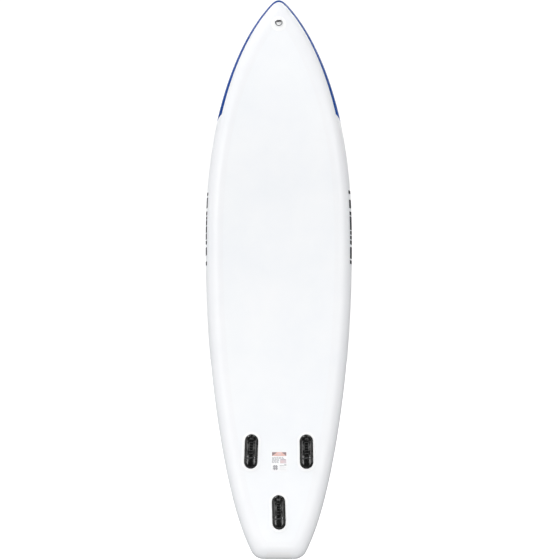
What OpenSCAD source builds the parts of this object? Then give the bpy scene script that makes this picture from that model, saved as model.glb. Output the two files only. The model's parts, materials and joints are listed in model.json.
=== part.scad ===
// Inflatable stand up paddleboard, hull side bare, three finless slide-in fin boxes.
// +Z runs along the board to the nose, +Y from the hull to the deck, and the
// origin is on the hull's flat face, halfway along the board.

/* [Board] */
// Length in plan, nose to tail
length = 3180; // [2900:10:3400]
// Greatest half width in plan
half_beam = 415.5; // [380:0.5:430]
// Thickness of the inflated board
thickness = 150; // [140:1:155]
// Distance from the nose to the widest place
wide_at = 1394; // [1300:1:1500]
// Height that the nose rises towards the deck
nose_rocker = 170; // [120:1:200]
// Length over which the nose rises
nose_rocker_len = 1000; // [900:10:1100]
// Height that the tail rises towards the deck
tail_rocker = 6; // [4:1:8]
// Length over which the tail rises
tail_rocker_len = 150; // [140:1:155]
// Radius of the tail's two corners in plan
tail_corner_r = 40; // [35:1:45]
// Thickness of the outer skin
skin_t = 0.8; // [0.6:0.1:1]
// Thickness of the drop-stitch fabric under it
fabric_t = 0.5; // [0.4:0.1:0.6]

/* [Nose band] */
// Distance from the nose to the band's rear end
band_len = 694; // [600:1:700]
// Half of the band's wrap round the rail at the nose, in degrees
band_wrap_nose = 25; // [20:1:30]
// Half of the band's wrap round the rail at its rear end, in degrees
band_wrap_rear = 39; // [32:1:45]

/* [Fin boxes] */
// Distance of the two side boxes from the centreline
side_box_x = 157; // [150:1:165]
// Distance from the nose to the middle of the side boxes
side_box_s = 2568; // [2540:1:2580]
// Distance from the nose to the middle of the centre box
centre_box_s = 2914; // [2912:1:2916]
// Width of a fin box
box_w = 76; // [74:1:80]
// Length of a fin box
box_len = 196; // [190:1:204]
// Height of a fin box over its patch
box_h = 10; // [9:0.5:11]
// Margin of the glued patch round a fin box
patch_margin = 14; // [10:1:16]

/* [Rings] */
// Radius of the rings' steel wire
wire_r = 2.2; // [2:0.1:2.4]
// Half width of a ring, on the wire's centreline
ring_half_w = 18; // [17:0.5:19]
// Distance from the nose to the tow ring's bar
tow_ring_s = 123; // [118:1:128]
// Distance from the nose to the leash ring's bar
leash_ring_s = 3046; // [3040:1:3050]

/* [Valve] */
// Distance from the nose to the valve
valve_s = 2965; // [2955:1:2970]
// Distance of the valve from the centreline
valve_x = 96; // [90:1:98]
// Radius of the valve's mouth
mouth_r = 20; // [19:0.5:21]

/* [Deck] */
// Thickness of the deck pads
pad_t = 4.5; // [4:0.5:6]
// Height of the grip's middle over the deck
grip_height = 27; // [25:1:30]
// Radius of the grip
grip_r = 13; // [12:0.5:14]

/* [Hidden] */
$fn = 48;

rail_r = thickness / 2;
glue_gap = 0.2;
inner_r = rail_r - skin_t - glue_gap;
tail_end_s = length - rail_r;
tail_rocker_s = length - tail_rocker_len;
seam_corner_r = 15;
seam_tip_s = 87;

// ---- outline and rocker, as functions of the distance s from the nose ----

function fore(t) = pow(max(0, 1 - pow(1 - t, 2.3)), 0.742);
function tip_swell(s) = 8 * sqrt(s / 5) * exp(-s / 20);
function aft(u) = 1 - 0.57 * pow(u, 2.15) - 0.108 * pow(u, 11.4);
function half_width(s) = s < wide_at
  ? half_beam * fore(s / wide_at) + tip_swell(s)
  : half_beam * aft((s - wide_at) / (length - wide_at));
function width_slope(s) = (half_width(s + 4) - half_width(s - 4)) / 8;
function seam_half(s) = max(0, half_width(s) - rail_r * sqrt(1 + pow(width_slope(s), 2)));

function rocker(s) = s < nose_rocker_len
  ? nose_rocker * pow((nose_rocker_len - s) / nose_rocker_len, 2.3)
  : s > tail_rocker_s ? tail_rocker * pow((s - tail_rocker_s) / tail_rocker_len, 2) : 0;
function rise_angle(s) = atan((rocker(s - 1) - rocker(s + 1)) / 2);
function place(x, y, s) = [x, y + rocker(s), length / 2 - s];

// ---- stations round the port edge: [edge x, edge s, seam x, seam s] ----

nose_span = 180;
nose_steps = 6;
bend_steps = 16;
flat_steps = 12;
tail_steps = 8;
tail_from = 2900;
main_end = length - tail_corner_r;
corner_step = 22.5;
function between(lo, hi, n) = [for (k = [1:n]) lo + (hi - lo) * k / n];
function seam_s(s) = s + seam_tip_s * exp(-s / 300) - rail_r * exp(-(length - s) / 300);
function side_station(s) = [half_width(s), s, s == 0 ? 0 : seam_half(seam_s(s)), seam_s(s)];
corner_seam_x = seam_half(tail_end_s) - seam_corner_r;
function corner_edge_s(a) = main_end + tail_corner_r * sin(a);
function corner_station(a) = [
  half_width(corner_edge_s(a)) - tail_corner_r * (1 - cos(a)), corner_edge_s(a),
  corner_seam_x + seam_corner_r * cos(a), tail_end_s - seam_corner_r * (1 - sin(a))];
square_end = corner_station(90);
function tail_station(t) = [t * square_end[0], length, t * square_end[2], tail_end_s];

side_s = concat([for (k = [0:nose_steps]) nose_span * pow(k / nose_steps, 2)],
  between(nose_span, nose_rocker_len, bend_steps),
  between(nose_rocker_len, tail_from, flat_steps),
  between(tail_from, main_end, tail_steps));
side_stations = concat([for (s = side_s) side_station(s)],
  [for (a = [corner_step:corner_step:90]) corner_station(a)]);
stations = concat(side_stations, [tail_station(0)]);

// A point of the rail: a turns from the hull (-90) over the edge (0) to the deck (90)
function rail_point(st, a, r) = let (k = cos(a) * r / rail_r)
  place(st[2] + (st[0] - st[2]) * k, rail_r + r * sin(a), st[3] + (st[1] - st[3]) * k);
// A closed loop round a strip of rail between the angles lo and hi and the radii r0 and r1
function rail_loop(st, lo, hi, r0, r1, n) = concat(
  [for (k = [0:n]) rail_point(st, lo + (hi - lo) * k / n, r1)],
  [for (k = [n:-1:0]) rail_point(st, lo + (hi - lo) * k / n, r0)]);
function mirrored(loop) = [for (p = loop) [-p[0], p[1], p[2]]];

// A closed solid through loops of equal length. From the point number given as back, the
// loops run back under their first half, and the diagonals turn so that both layers match.
module sweep(loops, back = undef) {
  n = len(loops);
  m = len(loops[0]);
  sides = [for (i = [0:n - 2], k = [0:m - 1])
    let (a = i * m + k, b = i * m + (k + 1) % m, c = b + m, d = a + m)
    each back == undef || k < back ? [[a, b, c], [a, c, d]] : [[a, b, d], [b, c, d]]];
  first = [for (k = [m - 1:-1:0]) k];
  last = [for (k = [0:m - 1]) (n - 1) * m + k];
  polyhedron([for (loop = loops) each loop], concat([first, last], sides), convexity = 6);
}

// A sheet that follows the rocker; each row is [s, lowest x, highest x]
module sheet(rows, y0, y1) {
  sweep([for (r = rows) [place(r[1], y0, r[0]), place(r[2], y0, r[0]),
    place(r[2], y1, r[0]), place(r[1], y1, r[0])]]);
}

disc_edge_angle = 8;
function disc_rows(s0, x0, r, n = 12) = [for (k = [0:n])
  let (a = disc_edge_angle + (180 - 2 * disc_edge_angle) * k / n)
  [s0 - r * cos(a), x0 - r * sin(a), x0 + r * sin(a)]];

// Local frames on the two faces: z out of the surface, y to the nose
module on_hull(s, x = 0) {
  translate(place(x, 0, s)) rotate([90 - rise_angle(s), 0, 0]) children();
}
module on_deck(s, x = 0) {
  translate(place(x, thickness, s)) rotate([-90 - rise_angle(s), 0, 0]) rotate([0, 0, 180]) children();
}

// ---- the inflated body ----

seam_gap = 0.1;
least_half = 0.05;
panel_rows = [for (st = side_stations) let (half = max(st[2] - seam_gap, least_half)) [st[3], -half, half]];

module panel(r0, r1, side) {
  y0 = rail_r + side * (side > 0 ? r0 : r1);
  y1 = rail_r + side * (side > 0 ? r1 : r0);
  sheet(panel_rows, y0, y1);
}

rail_steps = 10;
module rail(r0, r1) {
  sweep([for (st = stations) rail_loop(st, -90, 90, r0, r1, rail_steps)], rail_steps + 1);
}

hole_reach = 20;
hole_gap = 0.6;
module valve_hole() {
  on_deck(valve_s, valve_x) translate([0, 0, -hole_reach])
    cylinder(h = 2 * hole_reach, r = neck_r + hole_gap);
}

// Hairline slits part the deck skin into strips, so that each strip's hull follows the rocker
// and none of them shuts the valve hole
slit_w = 0.1;
slit_reach = 60;
slits = [130, 200, 300, 410, 520, 640, 760, 880, 1000,
  valve_s - slit_reach, valve_s, valve_s + slit_reach];
module deck_slits() {
  deep = nose_rocker + thickness;
  for (s = slits) translate([-half_beam, 0, length / 2 - s]) cube([2 * half_beam, deep, slit_w]);
  translate([valve_x, 0, length / 2 - valve_s - slit_reach])
    cube([slit_w, deep, 2 * slit_reach]);
}

module hull_skin() {
  color("whitesmoke") panel(rail_r - skin_t, rail_r, -1);
}

module deck_skin() {
  color("whitesmoke") difference() {
    panel(rail_r - skin_t, rail_r, 1);
    valve_hole();
    deck_slits();
  }
}

module rail_port() {
  color("whitesmoke") rail(rail_r - skin_t, rail_r);
}

module rail_starboard() {
  color("whitesmoke") mirror([1, 0, 0]) rail(rail_r - skin_t, rail_r);
}

module hull_fabric() {
  color("gainsboro") panel(inner_r - fabric_t, inner_r, -1);
}

module deck_fabric() {
  color("gainsboro") difference() {
    panel(inner_r - fabric_t, inner_r, 1);
    valve_hole();
  }
}

module inner_rail_port() {
  color("lightgray") rail(inner_r - fabric_t, inner_r);
}

module inner_rail_starboard() {
  color("lightgray") mirror([1, 0, 0]) rail(inner_r - fabric_t, inner_r);
}

// Bundles of the threads that hold the two fabrics parallel
thread_pitch = 130;
thread_r = 0.8;
thread_end_gap = 0.5;
thread_half = inner_r - fabric_t - thread_end_gap;
thread_from = 230;
thread_edge = 20;
thread_clear = 60;
thread_rows = floor((tail_end_s - thread_from - thread_edge / 2) / thread_pitch);
module drop_threads() {
  color("white") for (row = [0:thread_rows]) {
    s = thread_from + row * thread_pitch;
    across = floor((seam_half(s) - thread_edge) / thread_pitch);
    for (col = [-across:across]) {
      at = place(col * thread_pitch, rail_r, s);
      near_valve = norm([at[0] - valve_x, s - valve_s]) < thread_clear;
      if (!near_valve) translate(at) rotate([90, 0, 0])
        cylinder(h = 2 * thread_half, r = thread_r, center = true, $fn = 16);
    }
  }
}

// ---- printed and glued trim ----

trim_gap = 0.05;
band_t = 0.5;
band_taper = 45;
band_tip_wrap = 4;
band_steps = 6;
function band_wrap(s) = let (
    full = band_wrap_nose + (band_wrap_rear - band_wrap_nose) * s / band_len,
    end = min(1, (band_len - s) / band_taper))
  band_tip_wrap + (full - band_tip_wrap) * end;
taper_from = band_len - band_taper;
band_stations = concat([for (s = side_s) if (s < taper_from) s], [taper_from],
  between(taper_from, band_len, band_steps));
function band_loop(s) = rail_loop(side_station(s), -band_wrap(s), band_wrap(s),
  rail_r + trim_gap, rail_r + trim_gap + band_t, band_steps);

module nose_band() {
  last = len(band_stations) - 1;
  color("royalblue") sweep(concat(
    [for (k = [last:-1:1]) mirrored(band_loop(band_stations[k]))],
    [for (k = [0:last]) band_loop(band_stations[k])]));
}

tail_patch_half = 0.8 * square_end[0];
tail_patch_steps = 6;
tail_patch_wrap = 90 * tail_patch_steps / rail_steps;
module tail_patch() {
  end = rail_loop(tail_station(0), -tail_patch_wrap, tail_patch_wrap,
    rail_r + trim_gap, rail_r + trim_gap + skin_t, tail_patch_steps);
  color("gainsboro") rotate([0, 90, 0]) linear_extrude(height = 2 * tail_patch_half, center = true)
    polygon([for (p = end) [-p[2], p[1]]]);
}

label_s = 2626;
label_x = 3;
label_size = [91, 111, 0.3];
label_gap = 0.02;
module info_label() {
  color("lavender") on_hull(label_s, label_x) translate([0, 0, label_size[2] / 2 + label_gap])
    cube(label_size, center = true);
}

// ---- deck pads ----

pad_gap = 6;
handle_s = length / 2;
mid_pad_half = 170;
mid_pad_s0 = handle_s - mid_pad_half;
mid_pad_s1 = handle_s + mid_pad_half;
handle_clear_x = 62;
pad_margin = 16;
function pad_half(s) = seam_half(s) - pad_margin;

deck_gap = 0.2;
module pad(rows) {
  color("slategray") sheet(rows, thickness + deck_gap, thickness + deck_gap + pad_t);
}
function pad_rows(s0, s1, n) = [for (k = [0:n]) let (s = s0 + (s1 - s0) * k / n)
  [s, -pad_half(s), pad_half(s)]];

pad_front_s0 = 960;
pad_nose_len = 150;
pad_nose_steps = 7;
pad_tip_angle = 12;
module pad_front() {
  nose = [for (k = [0:pad_nose_steps]) let (
      a = pad_tip_angle + (90 - pad_tip_angle) * k / pad_nose_steps,
      s = pad_front_s0 + pad_nose_len * (1 - cos(a)))
    [s, -pad_half(s) * sin(a), pad_half(s) * sin(a)]];
  pad(concat(nose, pad_rows(pad_front_s0 + pad_nose_len + 40, mid_pad_s0 - pad_gap, 4)));
}

module pad_mid(side) {
  rows = [for (k = [0:4]) let (s = mid_pad_s0 + (mid_pad_s1 - mid_pad_s0) * k / 4)
    [s, side > 0 ? handle_clear_x : -pad_half(s), side > 0 ? pad_half(s) : -handle_clear_x]];
  pad(rows);
}
module pad_mid_port() {
  pad_mid(1);
}
module pad_mid_starboard() {
  pad_mid(-1);
}

pad_tail_s0 = 2450;
pad_tail_s1 = 2872;
module pad_rear() {
  pad(pad_rows(mid_pad_s1 + pad_gap, pad_tail_s0 - pad_gap, 6));
}
module pad_tail() {
  pad(pad_rows(pad_tail_s0, pad_tail_s1, 5));
}

ridge_s = 2846;
ridge_len = 250;
ridge_h = 22;
ridge_half = 22;
module kick_ridge() {
  color("dimgray") on_deck(ridge_s) translate([0, 0, pad_t + deck_gap + trim_gap]) rotate([0, 90, 0])
    linear_extrude(height = ridge_len, center = true)
      polygon([[0, -ridge_half], [0, ridge_half], [-5, 18], [-ridge_h, -8], [-ridge_h, -16],
        [-5, -ridge_half]]);
}

// ---- fin boxes, each in the frame of its own box: y to the nose, z out of the hull ----

fin_boxes = [
  [-side_box_x, side_box_s, -2.2],
  [side_box_x, side_box_s + 1, 0.7],
  [0, centre_box_s, 1.5]];
module at_box(k) {
  on_hull(fin_boxes[k][1], fin_boxes[k][0]) rotate([0, 0, fin_boxes[k][2]]) children();
}

// A solid with two round ends and sides that slope from width w0 to width w1
module stadium(w0, len0, h, w1 = 0) {
  top = w1 == 0 ? w0 : w1;
  straight = len0 - w0;
  for (side = [-1, 1]) translate([0, side * straight / 2, 0]) cylinder(h = h, r1 = w0 / 2, r2 = top / 2);
  rotate([90, 0, 0]) linear_extrude(height = straight, center = true)
    polygon([[-w0 / 2, 0], [w0 / 2, 0], [top / 2, h], [-top / 2, h]]);
}

fin_patch_t = 1.2;
module fin_patches() {
  color("white") for (k = [0:2]) at_box(k)
    stadium(box_w + 2 * patch_margin, box_len + 2 * patch_margin, fin_patch_t);
}

// A slide-in channel runs from the nose end of the pocket to the latch; the well
// behind the latch is open, so that a fin's foot drops in and slides forward.
base_t = 3;
bevel_w = 9;
pocket_w = 44;
pocket_front = 77;
pocket_rear = -82;
pocket_floor = 2.2;
mouth_w = 24;
lip_under = 6.2;
lip_top = 8.4;
lip_rear = -24;
lip_front = 55;
pin_at = [20, -33];
pin_r = 2;
boss_r = 6.5;
rib_pitch = 15.5;
rib_front = 66;
rib_size = [21, 3, 1.7];
notch_size = [16, 30, 10];
notch_back = 4;
pin_foot = 0.8;
latch_bottom = 11.6;
latch_t = 4.2;
latch_gap = 0.08;
boss_top = latch_bottom - fin_patch_t - 0.2;

module box_body() {
  stadium(box_w, box_len, base_t);
  translate([0, 0, base_t]) stadium(box_w, box_len, box_h - base_t, box_w - 2 * bevel_w);
}
module box_pocket() {
  len0 = pocket_front - pocket_rear;
  translate([0, (pocket_front + pocket_rear) / 2, pocket_floor]) stadium(pocket_w, len0, box_h);
}
module box_lips() {
  size = [(pocket_w - mouth_w) / 2, lip_front - lip_rear, lip_top - lip_under];
  for (side = [-1, 1])
    translate([side * (pocket_w + mouth_w) / 4, (lip_front + lip_rear) / 2, (lip_under + lip_top) / 2])
      cube(size, center = true);
}
module fin_box() {
  color([0.07, 0.07, 0.07]) translate([0, 0, fin_patch_t]) difference() {
    union() {
      difference() {
        box_body();
        box_pocket();
        translate([-notch_size[0] / 2, pocket_front - notch_back, pocket_floor + 3]) cube(notch_size);
      }
      box_lips();
      for (k = [0:5]) translate([-rib_size[0] / 2, rib_front - k * rib_pitch, pocket_floor - 0.5])
        cube(rib_size);
      translate([pin_at[0], pin_at[1], 1]) cylinder(h = boss_top - 1, r = boss_r);
    }
    translate([pin_at[0], pin_at[1], pin_foot]) cylinder(h = boss_top, r = pin_r);
  }
}
module fin_box_starboard() {
  at_box(0) fin_box();
}
module fin_box_port() {
  at_box(1) fin_box();
}
module fin_box_centre() {
  at_box(2) fin_box();
}

// The latch turns on its pin and bars the channel; its tip rests over the far side
latch_len = 53;
latch_angle = 188.6;
latch_half_w = 4;
thumb_size = [8, 5, 1.6];
module latch() {
  color([0.16, 0.16, 0.17]) translate([pin_at[0], pin_at[1], latch_bottom]) difference() {
    union() {
      cylinder(h = latch_t, r = boss_r);
      rotate([0, 0, latch_angle]) {
        translate([0, -latch_half_w, 0]) cube([latch_len - latch_half_w, 2 * latch_half_w, latch_t]);
        translate([latch_len - latch_half_w, 0, 0]) cylinder(h = latch_t, r = latch_half_w);
        translate([latch_len - latch_half_w - thumb_size[0], -thumb_size[1] / 2, latch_t - 0.5])
          cube(thumb_size);
      }
    }
    translate([0, 0, -1]) cylinder(h = latch_t + 3, r = pin_r + latch_gap);
  }
}
module fin_latch_starboard() {
  at_box(0) latch();
}
module fin_latch_port() {
  at_box(1) latch();
}
module fin_latch_centre() {
  at_box(2) latch();
}

pin_head_r = 4;
pin_head_h = 1.6;
pin_len = latch_bottom + latch_t - fin_patch_t - pin_foot + 0.2;
module fin_pins() {
  color("silver") for (k = [0:2]) at_box(k) translate([pin_at[0], pin_at[1], fin_patch_t + pin_foot]) {
    cylinder(h = pin_len, r = pin_r);
    translate([0, 0, pin_len]) cylinder(h = pin_head_h, r = pin_head_r);
  }
}

// ---- steel D-rings: the bar lies along x and the ring hangs to -y ----

bend_r = 4;
ring_leg = 8;
sleeve_r = 3.9;
sleeve_bore = 2.7;
sleeve_w = 26;
bar_height = fin_patch_t + sleeve_r;

module d_ring() {
  straight = ring_half_w - bend_r;
  rotate([0, 90, 0]) cylinder(h = 2 * straight, r = wire_r, center = true);
  for (side = [0, 1]) mirror([side, 0, 0]) {
    translate([straight, -bend_r, 0]) rotate_extrude(angle = 90) translate([bend_r, 0]) circle(r = wire_r);
    translate([ring_half_w, -bend_r, 0]) rotate([90, 0, 0]) cylinder(h = ring_leg - bend_r, r = wire_r);
  }
  translate([0, -ring_leg, 0]) rotate([0, 0, 180]) rotate_extrude(angle = 180)
    translate([ring_half_w, 0]) circle(r = wire_r);
}
strap_tab = [sleeve_w, 20, 2.2];
strap_lift = 0.1;
module ring_strap() {
  difference() {
    union() {
      rotate([0, 90, 0]) cylinder(h = sleeve_w, r = sleeve_r, center = true);
      translate([-sleeve_w / 2, 0, -sleeve_r]) cube(strap_tab);
    }
    rotate([0, 90, 0]) cylinder(h = sleeve_w + 2, r = sleeve_bore, center = true);
  }
}

tow_patch_r = 42.5;
tow_patch_s = 136;
tow_patch_rows = 10;
tow_patch_reach = 34;
tow_patch_step = 7.4;
module tow_ring() {
  color("dimgray") on_hull(tow_ring_s) translate([0, 0, bar_height]) d_ring();
}
module tow_ring_patch() {
  rows = [for (k = [0:tow_patch_rows]) let (s = tow_patch_s - tow_patch_reach + tow_patch_step * k,
      half = min(sqrt(pow(tow_patch_r, 2) - pow(s - tow_patch_s, 2)), seam_half(s) - 0.5))
    [s, -half, half]];
  color("white") sheet(rows, -fin_patch_t, -trim_gap);
}
module tow_ring_strap() {
  color("dimgray") on_hull(tow_ring_s) translate([0, 0, bar_height + strap_lift]) ring_strap();
}

// Rings on the deck hang straight down, so they stand off the rising nose
cargo_rings = [[165, 560], [-165, 560], [215, 900], [-215, 900]];
ring_patch_r = 38;
ring_patch_off = 6;
module deck_ring(s, x) {
  color("silver") on_deck(s, x) translate([0, 0, bar_height]) rotate([-rise_angle(s), 0, 0]) d_ring();
}
module deck_strap(s, x) {
  color("dimgray") on_deck(s, x) translate([0, 0, bar_height + strap_lift]) ring_strap();
}
module deck_patch(s, x, r) {
  color("white") sheet(disc_rows(s, x, r), thickness + deck_gap, thickness + fin_patch_t);
}

module cargo_ring_1() {
  deck_ring(cargo_rings[0][1], cargo_rings[0][0]);
}
module cargo_ring_2() {
  deck_ring(cargo_rings[1][1], cargo_rings[1][0]);
}
module cargo_ring_3() {
  deck_ring(cargo_rings[2][1], cargo_rings[2][0]);
}
module cargo_ring_4() {
  deck_ring(cargo_rings[3][1], cargo_rings[3][0]);
}
module cargo_patches() {
  for (c = cargo_rings) deck_patch(c[1] + ring_patch_off, c[0], ring_patch_r);
}
module cargo_straps() {
  for (c = cargo_rings) deck_strap(c[1], c[0]);
}

leash_patch_r = 32;
leash_patch_off = 10;
module leash_ring() {
  deck_ring(leash_ring_s, 0);
}
module leash_patch() {
  deck_patch(leash_ring_s + leash_patch_off, 0, leash_patch_r);
}
module leash_strap() {
  deck_strap(leash_ring_s, 0);
}

// ---- inflation valve, in a frame on the deck with z out of the board ----

module at_valve() {
  on_deck(valve_s, valve_x) children();
}

gasket_t = 1.2;
flange_r = 37;
flange_t = 3;
neck_r = mouth_r + 4;
neck_top = 9;
mouth_depth = 20;
lower_bore_r = mouth_r - 2;
body_bottom = -46;
seat_top = -34;
seat_hole_r = 12;
guide_r = 3;
guide_gap = 0.1;
guide_wall = 2.4;
key_slot = [3, 8, 8];
spoke_w = 3;
spoke_t = 4;

module ring(r_out, r_in, h) {
  difference() {
    cylinder(h = h, r = r_out);
    translate([0, 0, -1]) cylinder(h = h + 2, r = r_in);
  }
}

module valve_gasket() {
  color([0.1, 0.1, 0.1]) at_valve() translate([0, 0, deck_gap])
    ring(flange_r - 1, neck_r + 0.7, gasket_t - deck_gap - trim_gap);
}

module valve_body() {
  color([0.85, 0.86, 0.87]) at_valve() {
    translate([0, 0, gasket_t]) ring(flange_r, mouth_r, flange_t);
    difference() {
      translate([0, 0, body_bottom]) cylinder(h = neck_top - body_bottom, r = neck_r);
      translate([0, 0, neck_top - mouth_depth]) cylinder(h = mouth_depth + 1, r = mouth_r);
      translate([0, 0, seat_top]) cylinder(h = 40, r = lower_bore_r);
      translate([0, 0, body_bottom - 1]) cylinder(h = 20, r = seat_hole_r);
      for (side = [0, 1]) rotate([0, 0, 180 * side])
        translate([mouth_r - 1, -key_slot[1] / 2, neck_top - 6]) cube(key_slot);
    }
    // three spokes carry the guide that the plunger slides in
    difference() {
      union() {
        translate([0, 0, seat_top - spoke_t]) cylinder(h = spoke_t + 2, r = guide_r + guide_wall);
        for (k = [0:2]) rotate([0, 0, 120 * k])
          translate([guide_r + 1, -spoke_w / 2, seat_top - spoke_t])
            cube([seat_hole_r - guide_r, spoke_w, spoke_t]);
      }
      translate([0, 0, seat_top - 2 * spoke_t]) cylinder(h = 4 * spoke_t, r = guide_r + guide_gap);
    }
  }
}

nut_lug = [4, 6, 8];
nut_gap = 0.4;
module valve_nut() {
  nut_z = -skin_t - glue_gap - fabric_t - nut_gap - nut_lug[2];
  color([0.75, 0.76, 0.78]) at_valve() translate([0, 0, nut_z]) {
    ring(flange_r, neck_r + 0.05, nut_lug[2]);
    for (k = [0:7]) rotate([0, 0, 45 * k]) translate([flange_r - 1, -nut_lug[1] / 2, 0]) cube(nut_lug);
  }
}

button_bottom = -20;
button_t = 5;
spring_r = 7;
spring_wire_r = 0.55;
spring_turns = 5;
spring_steps = 14;
spring_low = seat_top + 0.6;
spring_high = button_bottom - 0.6;
module valve_spring() {
  rings = spring_turns * spring_steps;
  loops = [for (i = [0:rings]) let (
      turn = 360 * spring_turns * i / rings,
      z = spring_low + (spring_high - spring_low) * i / rings)
    [for (k = [0:5]) let (r = spring_r + spring_wire_r * cos(60 * k))
      [r * cos(turn), r * sin(turn), z + spring_wire_r * sin(60 * k)]]];
  color("silver") at_valve() sweep(loops);
}

stem_top = button_bottom + 3;
plunger_bottom = body_bottom - 4.2;
disc_r = seat_hole_r + 5;
disc_t = 2;
module valve_plunger() {
  color([0.15, 0.3, 0.6]) at_valve() {
    translate([0, 0, plunger_bottom]) cylinder(h = stem_top - plunger_bottom, r = guide_r);
    translate([0, 0, plunger_bottom]) cylinder(h = disc_t, r = disc_r);
  }
}
seal_t = 2.1;
module valve_seal() {
  color([0.1, 0.1, 0.1]) at_valve() translate([0, 0, plunger_bottom + disc_t + 0.02])
    ring(disc_r, guide_r + 0.02, seal_t);
}
button_r = 9;
button_bar = [16, 3.2, 1.6];
module valve_button() {
  color([0.15, 0.3, 0.6]) at_valve() difference() {
    union() {
      translate([0, 0, button_bottom]) cylinder(h = button_t, r = button_r);
      translate([-button_bar[0] / 2, -button_bar[1] / 2, button_bottom + button_t]) cube(button_bar);
    }
    translate([0, 0, button_bottom - 1]) cylinder(h = stem_top - button_bottom + 1.1, r = guide_r + 0.05);
  }
}

// The cap is hinged to a tether collar round the neck and plugs the mouth
cap_r = 27;
cap_t = 4;
plug_depth = 5;
hinge_x = -34.5;
hinge_z = 8;
hinge_r = 1.6;
cap_z = neck_top + 0.3;
plug_gap = 1.2;
cap_bar = [40, 6, 5];
cap_lug = [12, 10, 2];
module valve_cap() {
  color([0.8, 0.81, 0.83]) at_valve() difference() {
    union() {
      translate([0, 0, cap_z]) cylinder(h = cap_t, r = cap_r);
      translate([0, 0, cap_z - plug_depth]) cylinder(h = plug_depth, r = mouth_r - plug_gap);
      translate([-cap_bar[0] / 2, -cap_bar[1] / 2, cap_z + cap_t - 0.1]) cube(cap_bar);
      translate([hinge_x, -cap_lug[1] / 2, cap_z]) cube(cap_lug);
      translate([hinge_x, 0, hinge_z]) rotate([90, 0, 0])
        cylinder(h = cap_lug[1], r = hinge_r + 1.8, center = true);
    }
    translate([hinge_x, 0, hinge_z]) rotate([90, 0, 0]) cylinder(h = 30, r = hinge_r + 0.1, center = true);
    translate([0, 0, -1]) cylinder(h = cap_z - 1, r = mouth_r - 4);
  }
}
module cap_gasket() {
  color([0.1, 0.1, 0.1]) at_valve() translate([0, 0, neck_top - 2.2])
    rotate_extrude() translate([mouth_r - plug_gap, 0]) circle(r = 0.8, $fn = 24);
}
tether_z = gasket_t + flange_t + 0.05;
tether_arm = [11, 4, 2];
tether_y = 8;
module cap_tether() {
  color([0.75, 0.76, 0.78]) at_valve() {
    translate([0, 0, tether_z]) ring(neck_r + 3, neck_r + 0.1, tether_arm[2]);
    translate([hinge_x, 0, hinge_z]) rotate([90, 0, 0])
      cylinder(h = 2 * tether_y + tether_arm[1], r = hinge_r, center = true);
    for (side = [-1, 1]) translate([hinge_x - 2, side * tether_y - tether_arm[1] / 2, tether_z]) {
      cube(tether_arm);
      cube([tether_arm[1], tether_arm[1], hinge_z - tether_z + 1.65]);
    }
  }
}

// ---- carry handle, lengthwise in the middle of the deck ----

grip_len = 132;
strap_w = 25;
strap_t = 2.4;
pivot_half = 82;
pivot_h = 5.6;
pivot_reach = 8;
neck_half = 4;
taper_y = [64, 80];
strap_end = 110;
module at_handle() {
  on_deck(handle_s) children();
}
module handle_strap() {
  half = [[grip_len / 2 - 3, grip_height], [pivot_half - 4, pivot_h], [pivot_half + pivot_reach, pivot_h]];
  rise = concat([for (k = [2:-1:0]) [-half[k][0], half[k][1]]], half);
  edge = [[neck_half, -strap_end], [neck_half, -taper_y[1]], [strap_w / 2, -taper_y[0]],
    [strap_w / 2, taper_y[0]], [neck_half, taper_y[1]], [neck_half, strap_end]];
  low = [for (p = rise) [p[0], p[1] - strap_t / 2]];
  high = [for (k = [len(rise) - 1:-1:0]) [rise[k][0], rise[k][1] + strap_t / 2]];
  color("dimgray") at_handle() {
    intersection() {
      rotate([90, 0, 90]) linear_extrude(height = strap_w, center = true) polygon(concat(low, high));
      linear_extrude(height = 2 * grip_height)
        polygon(concat(edge, [for (k = [5:-1:0]) [-edge[k][0], edge[k][1]]]));
    }
  }
}
module handle_grip() {
  slot_gap = 0.1;
  color([0.2, 0.2, 0.22]) at_handle() translate([0, 0, grip_height]) difference() {
    rotate([90, 0, 0]) cylinder(h = grip_len - 12, r = grip_r, center = true);
    cube([strap_w + 2 * slot_gap, grip_len, strap_t + 2 * slot_gap], center = true);
  }
}
tab_w = 38;
tab_len = 64;
tab_t = 2;
tab_mid = pivot_half + pivot_reach + tab_len / 2;
cheek = [5, 24, 7];
cheek_x = 8;
module handle_tabs() {
  color("dimgray") at_handle() for (side = [0, 1]) rotate([0, 0, 180 * side])
    translate([0, tab_mid, fin_patch_t + 0.05]) {
      translate([-tab_w / 2, 2 - tab_len / 2, 0]) cube([tab_w, tab_len - 2, tab_t]);
      for (edge = [-1, 1])
        translate([edge * cheek_x - cheek[0] / 2, -tab_len / 2 - cheek[1] / 2, 0]) cube(cheek);
    }
}
handle_patch = [96, 90];
handle_patch_y = 125;
module handle_patches() {
  color("white") at_handle() for (side = [-1, 1])
    translate([-handle_patch[0] / 2, side * handle_patch_y - handle_patch[1] / 2, 0.05])
      cube([handle_patch[0], handle_patch[1], fin_patch_t - 0.05]);
}
stitch_pitch = 6;
stitch_x = 15;
stitch_size = [0.9, 3.6, 0.5];
module handle_stitches() {
  color("white") at_handle() for (side = [-1, 1], edge = [-1, 1], k = [0:7])
    translate([edge * stitch_x, side * tab_mid + (k - 3.5) * stitch_pitch, fin_patch_t + tab_t + 0.05])
      cube(stitch_size);
}

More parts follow.
